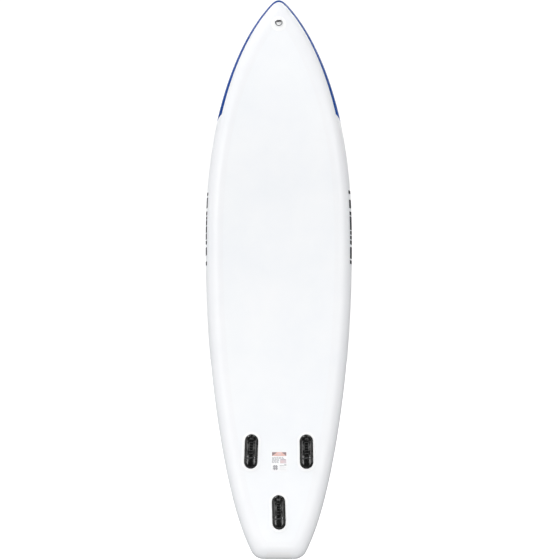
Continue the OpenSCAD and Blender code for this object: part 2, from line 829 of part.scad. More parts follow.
hull_skin();
deck_skin();
rail_port();
rail_starboard();
hull_fabric();
deck_fabric();
inner_rail_port();
inner_rail_starboard();
drop_threads();
nose_band();
tail_patch();
info_label();
pad_front();
pad_mid_port();
pad_mid_starboard();
pad_rear();
pad_tail();
kick_ridge();
fin_patches();
fin_box_starboard();
fin_box_port();
fin_box_centre();
fin_latch_starboard();
fin_latch_port();
fin_latch_centre();
fin_pins();
tow_ring();
tow_ring_patch();
tow_ring_strap();
cargo_ring_1();
cargo_ring_2();
cargo_ring_3();
cargo_ring_4();
cargo_patches();
cargo_straps();
leash_ring();
leash_patch();
leash_strap();
valve_body();
valve_nut();
valve_gasket();
valve_spring();
valve_plunger();
valve_seal();
valve_button();
valve_cap();
cap_gasket();
cap_tether();
handle_strap();
handle_grip();
handle_tabs();
handle_patches();
handle_stitches();
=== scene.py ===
"""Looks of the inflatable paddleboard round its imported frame. All lengths are in metres."""
import json
import math

import bmesh
import bpy
from mathutils import Matrix, Vector


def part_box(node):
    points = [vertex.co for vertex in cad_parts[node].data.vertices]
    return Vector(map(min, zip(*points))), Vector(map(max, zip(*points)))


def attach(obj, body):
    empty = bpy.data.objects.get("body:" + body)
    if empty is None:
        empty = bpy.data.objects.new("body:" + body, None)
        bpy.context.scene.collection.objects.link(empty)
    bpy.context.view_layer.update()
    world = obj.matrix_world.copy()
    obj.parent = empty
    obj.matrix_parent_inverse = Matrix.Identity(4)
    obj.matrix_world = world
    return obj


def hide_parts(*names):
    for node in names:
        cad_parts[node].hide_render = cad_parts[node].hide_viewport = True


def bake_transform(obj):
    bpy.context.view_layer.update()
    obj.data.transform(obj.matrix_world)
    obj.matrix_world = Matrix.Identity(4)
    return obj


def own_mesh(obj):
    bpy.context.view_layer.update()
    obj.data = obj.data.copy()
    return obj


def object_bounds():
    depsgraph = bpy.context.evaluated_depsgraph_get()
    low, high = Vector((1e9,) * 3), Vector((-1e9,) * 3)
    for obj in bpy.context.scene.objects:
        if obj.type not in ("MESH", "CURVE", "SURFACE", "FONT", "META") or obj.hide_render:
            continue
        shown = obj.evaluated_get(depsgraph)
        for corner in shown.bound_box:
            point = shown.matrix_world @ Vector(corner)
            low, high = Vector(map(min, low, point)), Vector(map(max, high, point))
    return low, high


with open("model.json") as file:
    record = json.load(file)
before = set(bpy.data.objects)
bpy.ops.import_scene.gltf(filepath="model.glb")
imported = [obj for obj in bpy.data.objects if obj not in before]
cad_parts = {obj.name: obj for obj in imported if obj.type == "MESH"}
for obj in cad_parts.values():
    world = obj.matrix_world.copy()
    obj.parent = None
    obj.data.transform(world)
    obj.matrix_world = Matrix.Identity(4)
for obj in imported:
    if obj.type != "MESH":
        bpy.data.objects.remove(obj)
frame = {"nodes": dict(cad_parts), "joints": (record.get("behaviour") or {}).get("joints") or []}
cad_low, cad_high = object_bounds()

# ---- the board's outline and rocker, as functions of the distance s from the nose ----

LENGTH = 2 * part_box("rail_port")[1].z
HALF_BEAM = 0.4155
THICK = 0.150
R = THICK / 2
WIDE_AT = 1.394
ROCKER_LEN = 1.0
ROCKER = 0.170
TAIL_ROCKER_LEN = 0.150
TAIL_ROCKER = 0.006
CORNER_R = 0.040
SEAM_CORNER_R = 0.015
SEAM_TIP = 0.087
SEAM_FADE = 0.300
FORE_POWER, FORE_ROUND = 2.3, 0.742
BLUNT, BLUNT_LEN, BLUNT_FADE = 0.008, 0.005, 0.020
AFT_TAPER, AFT_POWER = 0.57, 2.15
TAIL_PULL, TAIL_POWER = 0.108, 11.4
ROCKER_POWER = 2.3
SLOPE_STEP, RISE_STEP = 0.004, 0.001
TAIL_S = LENGTH - R
HULL, DECK = -1, 1


def half_width(s):
    """Half the board's width in plan: a rounded fore curve with a blunt tip, then a tapering tail."""
    if s < WIDE_AT:
        fore = max(0.0, 1 - (1 - s / WIDE_AT) ** FORE_POWER) ** FORE_ROUND if s > 0 else 0.0
        return HALF_BEAM * fore + BLUNT * math.sqrt(max(0, s) / BLUNT_LEN) * math.exp(-s / BLUNT_FADE)
    u = (s - WIDE_AT) / (LENGTH - WIDE_AT)
    return HALF_BEAM * (1 - AFT_TAPER * u**AFT_POWER - TAIL_PULL * u**TAIL_POWER)


def seam_half(s):
    """Half the width of the flat skin, out to where the round of the rail begins."""
    slope = (half_width(s + SLOPE_STEP) - half_width(s - SLOPE_STEP)) / (2 * SLOPE_STEP)
    return max(0.0, half_width(s) - R * math.sqrt(1 + slope**2))


def rocker(s):
    """How far the board has risen towards the deck side."""
    if s < ROCKER_LEN:
        return ROCKER * ((ROCKER_LEN - s) / ROCKER_LEN) ** ROCKER_POWER
    return TAIL_ROCKER * max(0.0, (s - LENGTH + TAIL_ROCKER_LEN) / TAIL_ROCKER_LEN) ** 2


def rise(s):
    """The angle of the surface, in radians."""
    return math.atan((rocker(s - RISE_STEP) - rocker(s + RISE_STEP)) / (2 * RISE_STEP))


def place(x, y, s):
    """A point x from the centreline and y above the hull face, carried up by the rocker."""
    return Vector((x, y + rocker(s), LENGTH / 2 - s))


def face_point(x, s, h, side):
    """A point h above the hull or deck; past the seam it follows the round of the rail."""
    flat = seam_half(s)
    turn = max(0.0, abs(x) - flat) / R
    out = math.copysign(flat + (R + h) * math.sin(turn), x) if turn else x
    return place(out, R + side * (R + h) * math.cos(turn), s)


def seam_s(s):
    """The seam's place for an edge at s: further aft at the nose, short of the edge at the tail."""
    return s + SEAM_TIP * math.exp(-s / SEAM_FADE) - R * math.exp((s - LENGTH) / SEAM_FADE)


def side_station(s):
    """(edge x, edge s, seam x, seam s) of a place on the port side."""
    return half_width(s), s, seam_half(seam_s(s)) if s > 0 else 0.0, seam_s(s)


def corner_station(deg):
    """The same on the tail's port corner, deg round from the side to the square end."""
    a = math.radians(deg)
    s = LENGTH - CORNER_R + CORNER_R * math.sin(a)
    seam_x = seam_half(TAIL_S) - SEAM_CORNER_R
    return (half_width(s) - CORNER_R * (1 - math.cos(a)), s,
            seam_x + SEAM_CORNER_R * math.cos(a), TAIL_S - SEAM_CORNER_R * (1 - math.sin(a)))


def tail_station(t):
    """The same on the square end, from the centreline (0) to the port corner (1)."""
    square = corner_station(90)
    return t * square[0], LENGTH, t * square[2], TAIL_S


NOSE_SPAN = 0.18
NOSE_STEPS, SIDE_STEPS, CORNER_STEPS, TAIL_STEPS = 16, 110, 10, 8
side_s = [NOSE_SPAN * (k / NOSE_STEPS) ** 2 for k in range(NOSE_STEPS)]
side_s += [NOSE_SPAN + (LENGTH - CORNER_R - NOSE_SPAN) * k / SIDE_STEPS for k in range(SIDE_STEPS + 1)]
side_stations = [side_station(s) for s in side_s]
side_stations += [corner_station(90 * k / CORNER_STEPS) for k in range(1, CORNER_STEPS + 1)]
tail_stations = [tail_station(1 - k / TAIL_STEPS) for k in range(1, TAIL_STEPS + 1)]


def rail_point(st, deg, r):
    """A point of the rail: deg turns from the hull (-90) over the edge (0) to the deck (90)."""
    k = math.cos(math.radians(deg)) * r / R
    x = st[2] + (st[0] - st[2]) * k
    return place(x, R + r * math.sin(math.radians(deg)), st[3] + (st[1] - st[3]) * k)


def mirrored(points):
    """The same points on the starboard side."""
    return [Vector((-p.x, p.y, p.z)) for p in points]


def spread(low, high, steps):
    """Evenly spaced values from low to high, both included."""
    return [low + (high - low) * k / steps for k in range(steps + 1)]


def node_place(node):
    """(x, s) of the middle of a CAD node's box."""
    low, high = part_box(node)
    return (low.x + high.x) / 2, LENGTH / 2 - (low.z + high.z) / 2


def hull_frame(x, s, yaw=0.0):
    """Local frame on the hull: z out of the surface, y to the nose, x to port."""
    return (Matrix.Translation(place(x, 0, s)) @ Matrix.Rotation(math.pi / 2 - rise(s), 4, "X")
            @ Matrix.Rotation(math.radians(yaw), 4, "Z"))


def deck_frame(x, s):
    """Local frame on the deck: z out of the surface, y to the nose, x to starboard."""
    return (Matrix.Translation(place(x, THICK, s)) @ Matrix.Rotation(-math.pi / 2 - rise(s), 4, "X")
            @ Matrix.Rotation(math.pi, 4, "Z"))


# ---- mesh building ----

SHARP = 35
SAME_POINT = 1e-7


class Builder:
    """Collects closed shapes into one mesh; paint is the material index of what is added next."""

    def __init__(self):
        self.bm = bmesh.new()
        self.paint = 0

    def _face(self, corners):
        if len(set(corners)) > 2:
            face = self.bm.faces.new(corners)
            face.material_index = self.paint

    def loft(self, loops, close=False):
        """A closed solid through loops of equal length, or a ring of them."""
        rows = [[self.bm.verts.new(p) for p in loop] for loop in loops]
        n = len(rows[0])
        pairs = list(zip(rows, rows[1:])) + ([(rows[-1], rows[0])] if close else [])
        for a, b in pairs:
            for k in range(n):
                self._face([a[k], a[(k + 1) % n], b[(k + 1) % n], b[k]])
        if not close:
            self._face(rows[0][::-1])
            self._face(rows[-1])

    def turned(self, profile, centre=(0, 0), steps=48):
        """A profile of (radius, height) turned round a local z axis."""
        loops = []
        for r, z in profile:
            turn = [2 * math.pi * k / steps for k in range(steps)]
            loops.append([(centre[0] + r * math.cos(a), centre[1] + r * math.sin(a), z) for a in turn])
        self.loft(loops)

    def block(self, low, high, bevel=0.0003, turn=None):
        """A box with rounded edges, turned by a matrix if one is given."""
        single = bmesh.new()
        bmesh.ops.create_cube(single, size=1)
        low, high = Vector(low), Vector(high)
        for v in single.verts:
            v.co = Vector(((low[i] + high[i]) / 2 + v.co[i] * (high[i] - low[i]) for i in range(3)))
        bmesh.ops.bevel(single, geom=single.edges[:], offset=bevel, segments=2, affect="EDGES", profile=0.5)
        verts = {v: self.bm.verts.new(turn @ v.co if turn else v.co) for v in single.verts}
        for face in single.faces:
            self._face([verts[v] for v in face.verts])
        single.free()

    def done(self, name, materials, matrix=None, sharp=SHARP):
        """The finished object, smooth but for edges sharper than the given angle."""
        bmesh.ops.remove_doubles(self.bm, verts=self.bm.verts, dist=SAME_POINT)
        bmesh.ops.recalc_face_normals(self.bm, faces=self.bm.faces)
        mesh = bpy.data.meshes.new(name)
        self.bm.to_mesh(mesh)
        self.bm.free()
        if matrix:
            mesh.transform(matrix)
        for m in materials:
            mesh.materials.append(m)
        mesh.shade_smooth()
        mesh.set_sharp_from_angle(angle=math.radians(sharp))
        obj = bpy.data.objects.new(name, mesh)
        bpy.context.scene.collection.objects.link(obj)
        return obj


def piece(obj, body, slot, *nodes):
    """The piece rides on its body and stands for the CAD nodes; slot is not used."""
    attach(obj, body)
    if nodes:
        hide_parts(*nodes)
    return obj


def cut(obj, cutter):
    """Takes the cutter away from obj and applies the result to its mesh."""
    tool = obj.modifiers.new("cut", "BOOLEAN")
    tool.operation = "DIFFERENCE"
    tool.solver = "EXACT"
    tool.object = cutter
    bpy.context.view_layer.update()
    made = bpy.data.meshes.new_from_object(obj.evaluated_get(bpy.context.evaluated_depsgraph_get()))
    obj.modifiers.clear()
    obj.data = made
    obj.data.set_sharp_from_angle(angle=math.radians(SHARP))
    bpy.data.objects.remove(cutter)


def stadium(r, half, middle, z, steps=20):
    """A closed outline with two round ends of radius r, centred half before and behind the middle."""
    loop = []
    for end in (1, -1):
        for k in range(steps + 1):
            a = math.pi * k / steps + (0 if end > 0 else math.pi)
            loop.append((r * math.cos(a), middle + end * half + r * math.sin(a), z))
    return loop


def smooth_path(points, steps=6):
    """Catmull-Rom curve through the points, with steps places in each span."""
    pts = [Vector(p) for p in points]
    pts = [2 * pts[0] - pts[1]] + pts + [2 * pts[-1] - pts[-2]]
    made = []
    for a, b, c, d in zip(pts, pts[1:], pts[2:], pts[3:]):
        for k in range(steps):
            t = k / steps
            made.append(0.5 * (2 * b + (c - a) * t + (2 * a - 5 * b + 4 * c - d) * t**2
                               + (3 * b - a - 3 * c + d) * t**3))
    return made + [pts[-2]]


def ribbon(path, width, thick):
    """Loops of a flat strap that lies across x and follows a path of (y, z); width is a function of t."""
    loops = []
    edge = thick * 0.35
    for i, p in enumerate(path):
        ahead, behind = path[min(i + 1, len(path) - 1)], path[max(i - 1, 0)]
        along = (ahead - behind).normalized()
        up = Vector((-along.y, along.x))
        w = width(i / (len(path) - 1)) / 2
        section = [(-w, -thick / 2 + edge), (-w + edge, -thick / 2), (w - edge, -thick / 2),
                   (w, -thick / 2 + edge), (w, thick / 2 - edge), (w - edge, thick / 2),
                   (-w + edge, thick / 2), (-w, thick / 2 - edge)]
        loops.append([(x, p.x + up.x * h, p.y + up.y * h) for x, h in section])
    return loops


# ---- materials ----


class Finish:
    """A principled material whose colour, roughness and relief come from procedural nodes."""

    def __init__(self, name, colour, rough, **constants):
        self.made = bpy.data.materials.new(name)
        self.made.use_nodes = True
        self.tree = self.made.node_tree
        self.shader = self.tree.nodes["Principled BSDF"]
        self.shader.inputs["Base Color"].default_value = (*colour, 1)
        self.shader.inputs["Roughness"].default_value = rough
        for socket, value in constants.items():
            self.shader.inputs[socket.replace("_", " ")].default_value = value
        self.normal = None

    def node(self, kind, **inputs):
        made = self.tree.nodes.new(kind)
        for socket, value in inputs.items():
            made.inputs[socket.replace("_", " ")].default_value = value
        return made

    def link(self, a, b):
        self.tree.links.new(a, b)

    def place(self, node, stretch=(1, 1, 1), turn=(0, 0, 0)):
        """Feeds a texture with the piece's own coordinates, stretched and turned."""
        coords = self.node("ShaderNodeTexCoord")
        mapping = self.node("ShaderNodeMapping", Scale=stretch, Rotation=turn)
        self.link(coords.outputs["Object"], mapping.inputs["Vector"])
        self.link(mapping.outputs[0], node.inputs["Vector"])

    def noise(self, grain, detail=4.0, stretch=(1, 1, 1)):
        """Cloudy noise whose largest features are about grain across."""
        made = self.node("ShaderNodeTexNoise", Scale=1 / grain, Detail=detail, Roughness=0.6)
        self.place(made, stretch)
        return made.outputs[0]

    def wave(self, pitch, axis, turn=(0, 0, 0)):
        """Parallel ridges pitch apart, along one axis."""
        made = self.node("ShaderNodeTexWave", Scale=math.pi / 10 / pitch, Distortion=0.0)
        made.bands_direction = axis
        self.place(made, turn=turn)
        return made.outputs["Fac"]

    def cells(self, grain):
        """Closed cells about grain across."""
        made = self.node("ShaderNodeTexVoronoi", Scale=1 / grain)
        self.place(made)
        return made.outputs["Distance"]

    def join(self, a, b, how="MULTIPLY"):
        """Two textures put together by a sum, a product or the higher of the two."""
        made = self.node("ShaderNodeMath")
        made.operation = how
        self.link(a, made.inputs[0])
        self.link(b, made.inputs[1])
        return made.outputs[0]

    def tint(self, height, low, high, start=0.3, end=0.7):
        """The colour runs from low to high as the texture goes from start to end."""
        made = self.node("ShaderNodeValToRGB")
        ramp = made.color_ramp.elements
        ramp[0].position, ramp[1].position = start, end
        ramp[0].color, ramp[1].color = (*low, 1), (*high, 1)
        self.link(height, made.inputs["Fac"])
        self.link(made.outputs["Color"], self.shader.inputs["Base Color"])
        return self

    def wear(self, height, low, high):
        """The roughness runs from low to high with the texture."""
        made = self.node("ShaderNodeMapRange", From_Min=0.3, From_Max=0.7, To_Min=low, To_Max=high)
        self.link(height, made.inputs["Value"])
        self.link(made.outputs["Result"], self.shader.inputs["Roughness"])
        return self

    def relief(self, height, depth, strength=1.0):
        """Raises the surface by depth where the texture is bright. Reliefs add up."""
        made = self.node("ShaderNodeBump", Strength=strength, Distance=depth)
        self.link(height, made.inputs["Height"])
        if self.normal:
            self.link(self.normal, made.inputs["Normal"])
        self.normal = made.outputs[0]
        self.link(self.normal, self.shader.inputs["Normal"])
        return self


def coated_fabric(name, low, high, rough, shine=0.35):
    """PVC on a woven base: soft mottling, a fine weave that shows through, and rubbed gloss."""
    f = Finish(name, high, rough, Specular_IOR_Level=shine)
    f.tint(f.noise(0.35, 3), low, high)
    f.wear(f.noise(0.05, 5), rough - 0.06, rough + 0.08)
    f.relief(f.join(f.wave(0.0016, "X"), f.wave(0.0016, "Z"), "ADD"), 0.00003, 0.5)
    f.relief(f.noise(0.010, 3), 0.00012, 0.35)
    return f.made


def foam(name, low, high):
    """EVA foam: closed cells, a brushed diamond grain, and a cloudy tone."""
    f = Finish(name, high, 0.8, Sheen_Weight=0.15, Sheen_Roughness=0.6, Specular_IOR_Level=0.25)
    f.tint(f.noise(0.03, 6), low, high)
    slant = f.wave(0.009, "X", (0, math.radians(35), 0))
    other = f.wave(0.009, "X", (0, math.radians(-35), 0))
    f.relief(f.join(slant, other, "MAXIMUM"), 0.0009, 0.8)
    f.relief(f.cells(0.0012), 0.0002, 0.5)
    f.wear(f.noise(0.02), 0.72, 0.9)
    return f.made


def moulded(name, low, high, rough, coat=0.0, shine=0.4):
    """Injection-moulded plastic: faint flow marks, spark-eroded grain, handling scuffs."""
    f = Finish(name, high, rough, Coat_Weight=coat, Coat_Roughness=0.12, Specular_IOR_Level=shine)
    f.tint(f.noise(0.012, 6), low, high)
    f.wear(f.noise(0.006, 6, (1, 1, 0.25)), rough - 0.06, rough + 0.12)
    f.relief(f.noise(0.0012, 2), 0.00002, 0.6)
    f.relief(f.noise(0.02, 2), 0.00015, 0.25)
    return f.made


def woven(name, low, high, pitch, sheen=0.3):
    """Webbing or cloth: warp and weft ridges, yarn fuzz, uneven dye, and painted shade that darkens the
    hollows of the weave.
    """
    f = Finish(name, high, 0.75, Sheen_Weight=sheen, Sheen_Roughness=0.5, Specular_IOR_Level=0.2)
    weave = f.join(f.wave(pitch, "X"), f.wave(pitch, "Z"), "MULTIPLY")
    # The colour follows the weave's height, so its hollows are darker as painted shade; the noise adds
    # uneven dye.
    f.tint(f.join(weave, f.noise(pitch * 3, 4), "ADD"), low, high, 0.3, 1.1)
    f.relief(weave, pitch * 0.35)
    f.relief(f.noise(pitch * 0.4, 3), pitch * 0.08)
    return f.made


def metal(name, low, high, rough):
    """Polished wire: drawn lines, small pits and finger smears."""
    f = Finish(name, high, rough, Metallic=1.0)
    f.tint(f.noise(0.008, 5), low, high)
    f.wear(f.noise(0.004, 6, (1, 1, 4)), rough - 0.08, rough + 0.14)
    f.relief(f.noise(0.0007, 2), 0.00001, 0.5)
    return f.made


def rubber(name, low, high):
    """Seal rubber: matt, with a fine grain and bloom."""
    f = Finish(name, high, 0.6, Specular_IOR_Level=0.35)
    f.tint(f.noise(0.01, 5), low, high)
    f.relief(f.noise(0.001, 3), 0.00004, 0.6)
    f.wear(f.noise(0.004), 0.5, 0.72)
    return f.made


def ink(name, low, high):
    """Printed ink: a dot grain and slightly uneven cover."""
    f = Finish(name, high, 0.5, Specular_IOR_Level=0.15)
    f.tint(f.noise(0.004, 5), low, high)
    f.wear(f.noise(0.003), 0.42, 0.6)
    return f.made


PVC = coated_fabric("pvc_white", (0.845, 0.862, 0.885), (0.885, 0.895, 0.905), 0.40)
TAPE = coated_fabric("pvc_tape", (0.84, 0.85, 0.87), (0.875, 0.88, 0.89), 0.38)
PATCH = coated_fabric("patch_white", (0.91, 0.915, 0.92), (0.945, 0.945, 0.945), 0.34)
TAIL_TAPE = coated_fabric("tail_tape", (0.825, 0.825, 0.83), (0.86, 0.86, 0.86), 0.38)
BLUE = coated_fabric("blue_band", (0.003, 0.045, 0.240), (0.006, 0.065, 0.320), 0.50, 0.05)
CLOTH = woven("drop_stitch_fabric", (0.62, 0.62, 0.60), (0.80, 0.80, 0.78), 0.0012)
THREAD = woven("thread", (0.72, 0.72, 0.70), (0.86, 0.86, 0.84), 0.0006)
EVA = foam("eva_grey", (0.20, 0.215, 0.235), (0.30, 0.315, 0.335))
EVA_DARK = foam("eva_dark", (0.035, 0.037, 0.042), (0.060, 0.063, 0.070))
BLACK = moulded("black_plastic", (0.0015, 0.0017, 0.0016), (0.0035, 0.0038, 0.0036), 0.15, 0.0, 0.50)
LATCH = moulded("latch_plastic", (0.016, 0.017, 0.018), (0.034, 0.035, 0.036), 0.34, 0.1)
STEEL = metal("steel", (0.45, 0.46, 0.47), (0.62, 0.63, 0.64), 0.26)
# The tow ring's steel is a darker copy of the rings' steel: painted shade for the shadow round the ring.
SHADED_STEEL = metal("dark_steel", (0.10, 0.105, 0.11), (0.20, 0.205, 0.21), 0.30)
WEBBING = woven("webbing", (0.030, 0.031, 0.034), (0.085, 0.088, 0.094), 0.0014)
NEOPRENE = woven("neoprene", (0.014, 0.015, 0.017), (0.034, 0.036, 0.040), 0.0007, 0.5)
VALVE = moulded("valve_plastic", (0.55, 0.56, 0.58), (0.68, 0.69, 0.70), 0.38, 0.1)
VALVE_BLUE = moulded("valve_blue", (0.012, 0.06, 0.24), (0.02, 0.10, 0.36), 0.35, 0.15)
RUBBER = rubber("seal_rubber", (0.010, 0.010, 0.011), (0.028, 0.028, 0.030))
FILM = ink("label", (0.90, 0.90, 0.91), (0.94, 0.94, 0.95))
INK_PEACH = ink("ink_peach", (0.74, 0.47, 0.42), (0.80, 0.54, 0.49))
INK_GREY = ink("ink_grey", (0.13, 0.125, 0.14), (0.20, 0.19, 0.22))
INK_ROSE = ink("ink_rose", (0.66, 0.57, 0.61), (0.74, 0.65, 0.69))
INK_FAINT = ink("ink_faint", (0.60, 0.60, 0.62), (0.70, 0.70, 0.72))
INK_BLACK = ink("ink_black", (0.018, 0.019, 0.024), (0.035, 0.036, 0.044))

# ---- the inflated body ----

SKIN = 0.0008
LAP = 0.024
LAP_T = 0.0006
LAP_FROM = 72
LAP_EDGE = 0.8
TRIM = 0.00005
SEAM_GAP, TIP_HALF = 0.0002, 0.00005
ARC = spread(-90, 90, 44)


def panel(name, side, material):
    """The flat skin between the two seams."""
    b = Builder()
    loops = []
    for st in side_stations:
        half = max(st[2] - SEAM_GAP, TIP_HALF)
        across = spread(-half, half, 16)
        outer = [place(x, R + side * R, st[3]) for x in across]
        inner = [place(x, R + side * (R - SKIN), st[3]) for x in across[::-1]]
        loops.append(outer + inner)
    b.loft(loops)
    return b.done(name, [material])


def rail_section(st):
    """Closed section of the rail tape: round the edge, with a lap glued onto each flat skin."""
    run = Vector((st[2] - st[0], st[3] - st[1])).normalized() * LAP
    lap_x, lap_s = max(0.0, st[2] + run.x), st[3] + run.y

    def radius(deg):
        return R + LAP_T * min(1, max(0, (abs(deg) - LAP_FROM) / (90 - LAP_FROM)))

    def lap(side, h):
        return place(lap_x, R + side * (R + h), lap_s)

    outer = [lap(HULL, LAP_T * LAP_EDGE)] + [rail_point(st, a, radius(a)) for a in ARC]
    outer.append(lap(DECK, LAP_T * LAP_EDGE))
    inner = [lap(DECK, TRIM)] + [rail_point(st, 90, R + TRIM)]
    inner += [rail_point(st, a, R - SKIN) for a in ARC[-2:0:-1]]
    return outer + inner + [rail_point(st, -90, R + TRIM), lap(HULL, TRIM)]


def rail_tape():
    """Both rails in one run round the board, so that nose and tail have no break."""
    b = Builder()
    loops = [rail_section(st) for st in side_stations + tail_stations]
    b.loft(loops + [mirrored(loop) for loop in loops[-2:0:-1]], close=True)
    return b.done("rail_tape", [TAPE])


piece(panel("hull_panel", HULL, PVC), "board", "pvc_white", "hull_skin")
deck_panel = panel("deck_panel", DECK, PVC)
piece(rail_tape(), "board", "pvc_white", "rail_port", "rail_starboard")

VALVE_HOLE_R = 0.0246
HOLE_REACH = 0.02
b = Builder()
b.turned([(VALVE_HOLE_R, -HOLE_REACH), (VALVE_HOLE_R, HOLE_REACH)])
cut(deck_panel, b.done("hole", [], deck_frame(*node_place("valve_gasket"))))
piece(deck_panel, "board", "pvc_white", "deck_skin")


STRIP_STEPS = 24
STRIP_EDGE = 0.3


def rail_strip(stations, wraps, height, material, name):
    """A strip that lies on the rail, wrapping it by the given half angles, on both sides of x = 0."""
    halves = []
    for st, wrap in zip(stations, wraps):
        turn = spread(-wrap, wrap, STRIP_STEPS)
        outer = [rail_point(st, a, R + TRIM + height * (STRIP_EDGE if i in (0, STRIP_STEPS) else 1))
                 for i, a in enumerate(turn)]
        halves.append(outer + [rail_point(st, a, R + TRIM) for a in turn[::-1]])
    b = Builder()
    b.loft([mirrored(loop) for loop in halves[:0:-1]] + halves)
    return b.done(name, [material], sharp=50)


BAND_LEN = LENGTH / 2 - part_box("nose_band")[0].z
BAND_WRAP = (29, 39)
BAND_TIP = 4
BAND_TAPER = 0.045
BAND_T = 0.0005
BAND_STEPS, TAPER_STEPS = 60, 6
BAND_GATHER = 1.6
band_s = [(BAND_LEN - BAND_TAPER) * (k / BAND_STEPS) ** BAND_GATHER for k in range(BAND_STEPS + 1)]
band_s += [BAND_LEN - BAND_TAPER * (1 - k / TAPER_STEPS) for k in range(1, TAPER_STEPS + 1)]


def band_wrap(s):
    """Half the angle that the band wraps: it widens aft and then runs out in a point."""
    full = BAND_WRAP[0] + (BAND_WRAP[1] - BAND_WRAP[0]) * s / BAND_LEN
    return BAND_TIP + (full - BAND_TIP) * min(1, (BAND_LEN - s) / BAND_TAPER)


band = rail_strip([side_station(s) for s in band_s], [band_wrap(s) for s in band_s],
                  BAND_T, BLUE, "nose_band_tape")
piece(band, "board", "blue_band", "nose_band")

TAIL_WRAP = 62
TAIL_PATCH_T = 0.0008
tail_ts = [0, 0.2, 0.4, 0.6, 0.7, 0.76, 0.8]
tail_wraps = [TAIL_WRAP] * 5 + [TAIL_WRAP - 3, TAIL_WRAP - 10]
tail = rail_strip([tail_station(t) for t in tail_ts], tail_wraps,
                  TAIL_PATCH_T, TAIL_TAPE, "tail_tape_patch")
piece(tail, "board", "patch_white", "tail_patch")

# Dark marks printed round both rails: plain slanted bars, each (start s, length)
MARK_WRAP = {"port": 31, "starboard": 24}
MARK_T = 0.00012
MARKS = {
    "port": [(1.088, 0.020), (1.141, 0.048), (1.208, 0.022), (1.235, 0.078), (1.318, 0.022),
             (1.345, 0.021), (1.372, 0.023), (1.410, 0.066), (1.485, 0.021)],
    "starboard": [(1.100, 0.018), (1.129, 0.060), (1.208, 0.022), (1.236, 0.017), (1.257, 0.030),
                  (1.292, 0.036), (1.333, 0.034), (1.373, 0.022), (1.412, 0.045), (1.492, 0.022)],
}
MARK_SLANT = 0.008
MARK_STEPS = 4


def rail_marks(side, marks):
    """One rail's bars, each a thin slab that follows the round of the rail."""
    b = Builder()
    wrap = MARK_WRAP[side]
    turn = spread(-wrap, wrap, 10)
    for start, long in marks:
        loops = []
        for s in spread(start, start + long, MARK_STEPS):
            outer, inner = [], []
            for a in turn:
                st = side_station(s + MARK_SLANT * a / wrap / 2)
                outer.append(rail_point(st, a, R + TRIM + MARK_T))
                inner.append(rail_point(st, a, R + TRIM))
            loops.append(outer + inner[::-1])
        b.loft([mirrored(loop) for loop in loops] if side == "starboard" else loops)
    return b.done("rail_marks_" + side, [INK_BLACK])


for side, marks in MARKS.items():
    piece(rail_marks(side, marks), "board", "eva_dark")

# ---- glued patches ----

FIN_BOXES = {"starboard": -2.2, "port": 0.7, "centre": 1.5}
PATCH_T = 0.0012
PATCH_BEVEL = 0.0006
PATCH_RIM = 0.6
PATCH_MARGIN = 0.014
BOX_W, BOX_L = 0.076, 0.196
BOX_HALF = (BOX_L - BOX_W) / 2


def box_frame(name, yaw):
    """Frame of a fin box from where the CAD box stands."""
    return hull_frame(*node_place("fin_box_" + name), yaw)


b = Builder()
for name, yaw in FIN_BOXES.items():
    at = box_frame(name, yaw)
    r = BOX_W / 2 + PATCH_MARGIN
    rings = [(0, TRIM), (0, PATCH_T * PATCH_RIM), (PATCH_BEVEL, PATCH_T), (PATCH_MARGIN - 0.003, PATCH_T),
             (PATCH_MARGIN + 0.002, PATCH_T * 0.9)]
    b.loft([[at @ Vector(p) for p in stadium(r - inset, BOX_HALF, 0, z)] for inset, z in rings])
piece(b.done("fin_box_patches", [PATCH]), "board", "patch_white", "fin_patches")


WELD_IN, WELD_OUT, WELD_DEPTH = 0.008, 0.004, 0.0003
DISC_STEPS = 64


def round_patch(b, x, s, r, side):
    """A disc of coated fabric on the hull or deck, with a thinned rim and a pressed welding ring."""
    rings = [(r, TRIM), (r, PATCH_T * 0.5), (r - 0.0008, PATCH_T), (r - WELD_OUT, PATCH_T),
             (r - WELD_OUT - 0.001, PATCH_T - WELD_DEPTH), (r - WELD_IN + 0.001, PATCH_T - WELD_DEPTH),
             (r - WELD_IN, PATCH_T), (r * 0.4, PATCH_T)]
    turn = [2 * math.pi * k / DISC_STEPS for k in range(DISC_STEPS)]
    b.loft([[face_point(x + reach * math.sin(a), s - reach * math.cos(a), h, side) for a in turn]
            for reach, h in rings])


BAR_H = 0.0052


def ring_foot(node, side):
    """(x, s) on the surface under a ring's bar, from its joint: the bar stands off a leaning face."""
    joint = next(j for j in frame["joints"] if j["child"] == node)
    s = LENGTH / 2 - joint["pos_m"][2]
    return joint["pos_m"][0], s - side * BAR_H * math.sin(rise(s))


# A patch and its CAD node, a loop and its node, the rings, the face, the patch's radius and place aft
RINGS = [
    ("tow_patch", "tow_ring_patch", "tow_loop", "tow_ring_strap", ["tow_ring"], HULL, 0.0425, 0.013),
    ("cargo_ring_patches", "cargo_patches", "cargo_loops", "cargo_straps",
     [f"cargo_ring_{k}" for k in (1, 2, 3, 4)], DECK, 0.038, 0.006),
    ("leash_ring_patch", "leash_patch", "leash_loop", "leash_strap", ["leash_ring"], DECK, 0.032, 0.010),
]
for name, node, _, _, rings, side, patch_r, off in RINGS:
    b = Builder()
    for x, s in [ring_foot(ring, side) for ring in rings]:
        round_patch(b, x, s + off, patch_r, side)
    piece(b.done(name, [PATCH]), "board", "patch_white", node)

# ---- webbing loops that hold the rings ----

LOOP_W = 0.026
LOOP_T = 0.0011
LOOP_R = 0.00325
TAB_END = 0.020
UNDER_H, OVER_H = 0.0019, 0.0031
COVER_FROM = 0.0065
COVER_T, COVER_RISE = 0.0005, 0.0030
RIDGE_HALF, RIDGE_RAMP = 0.020, 0.0065
FALL = 0.005


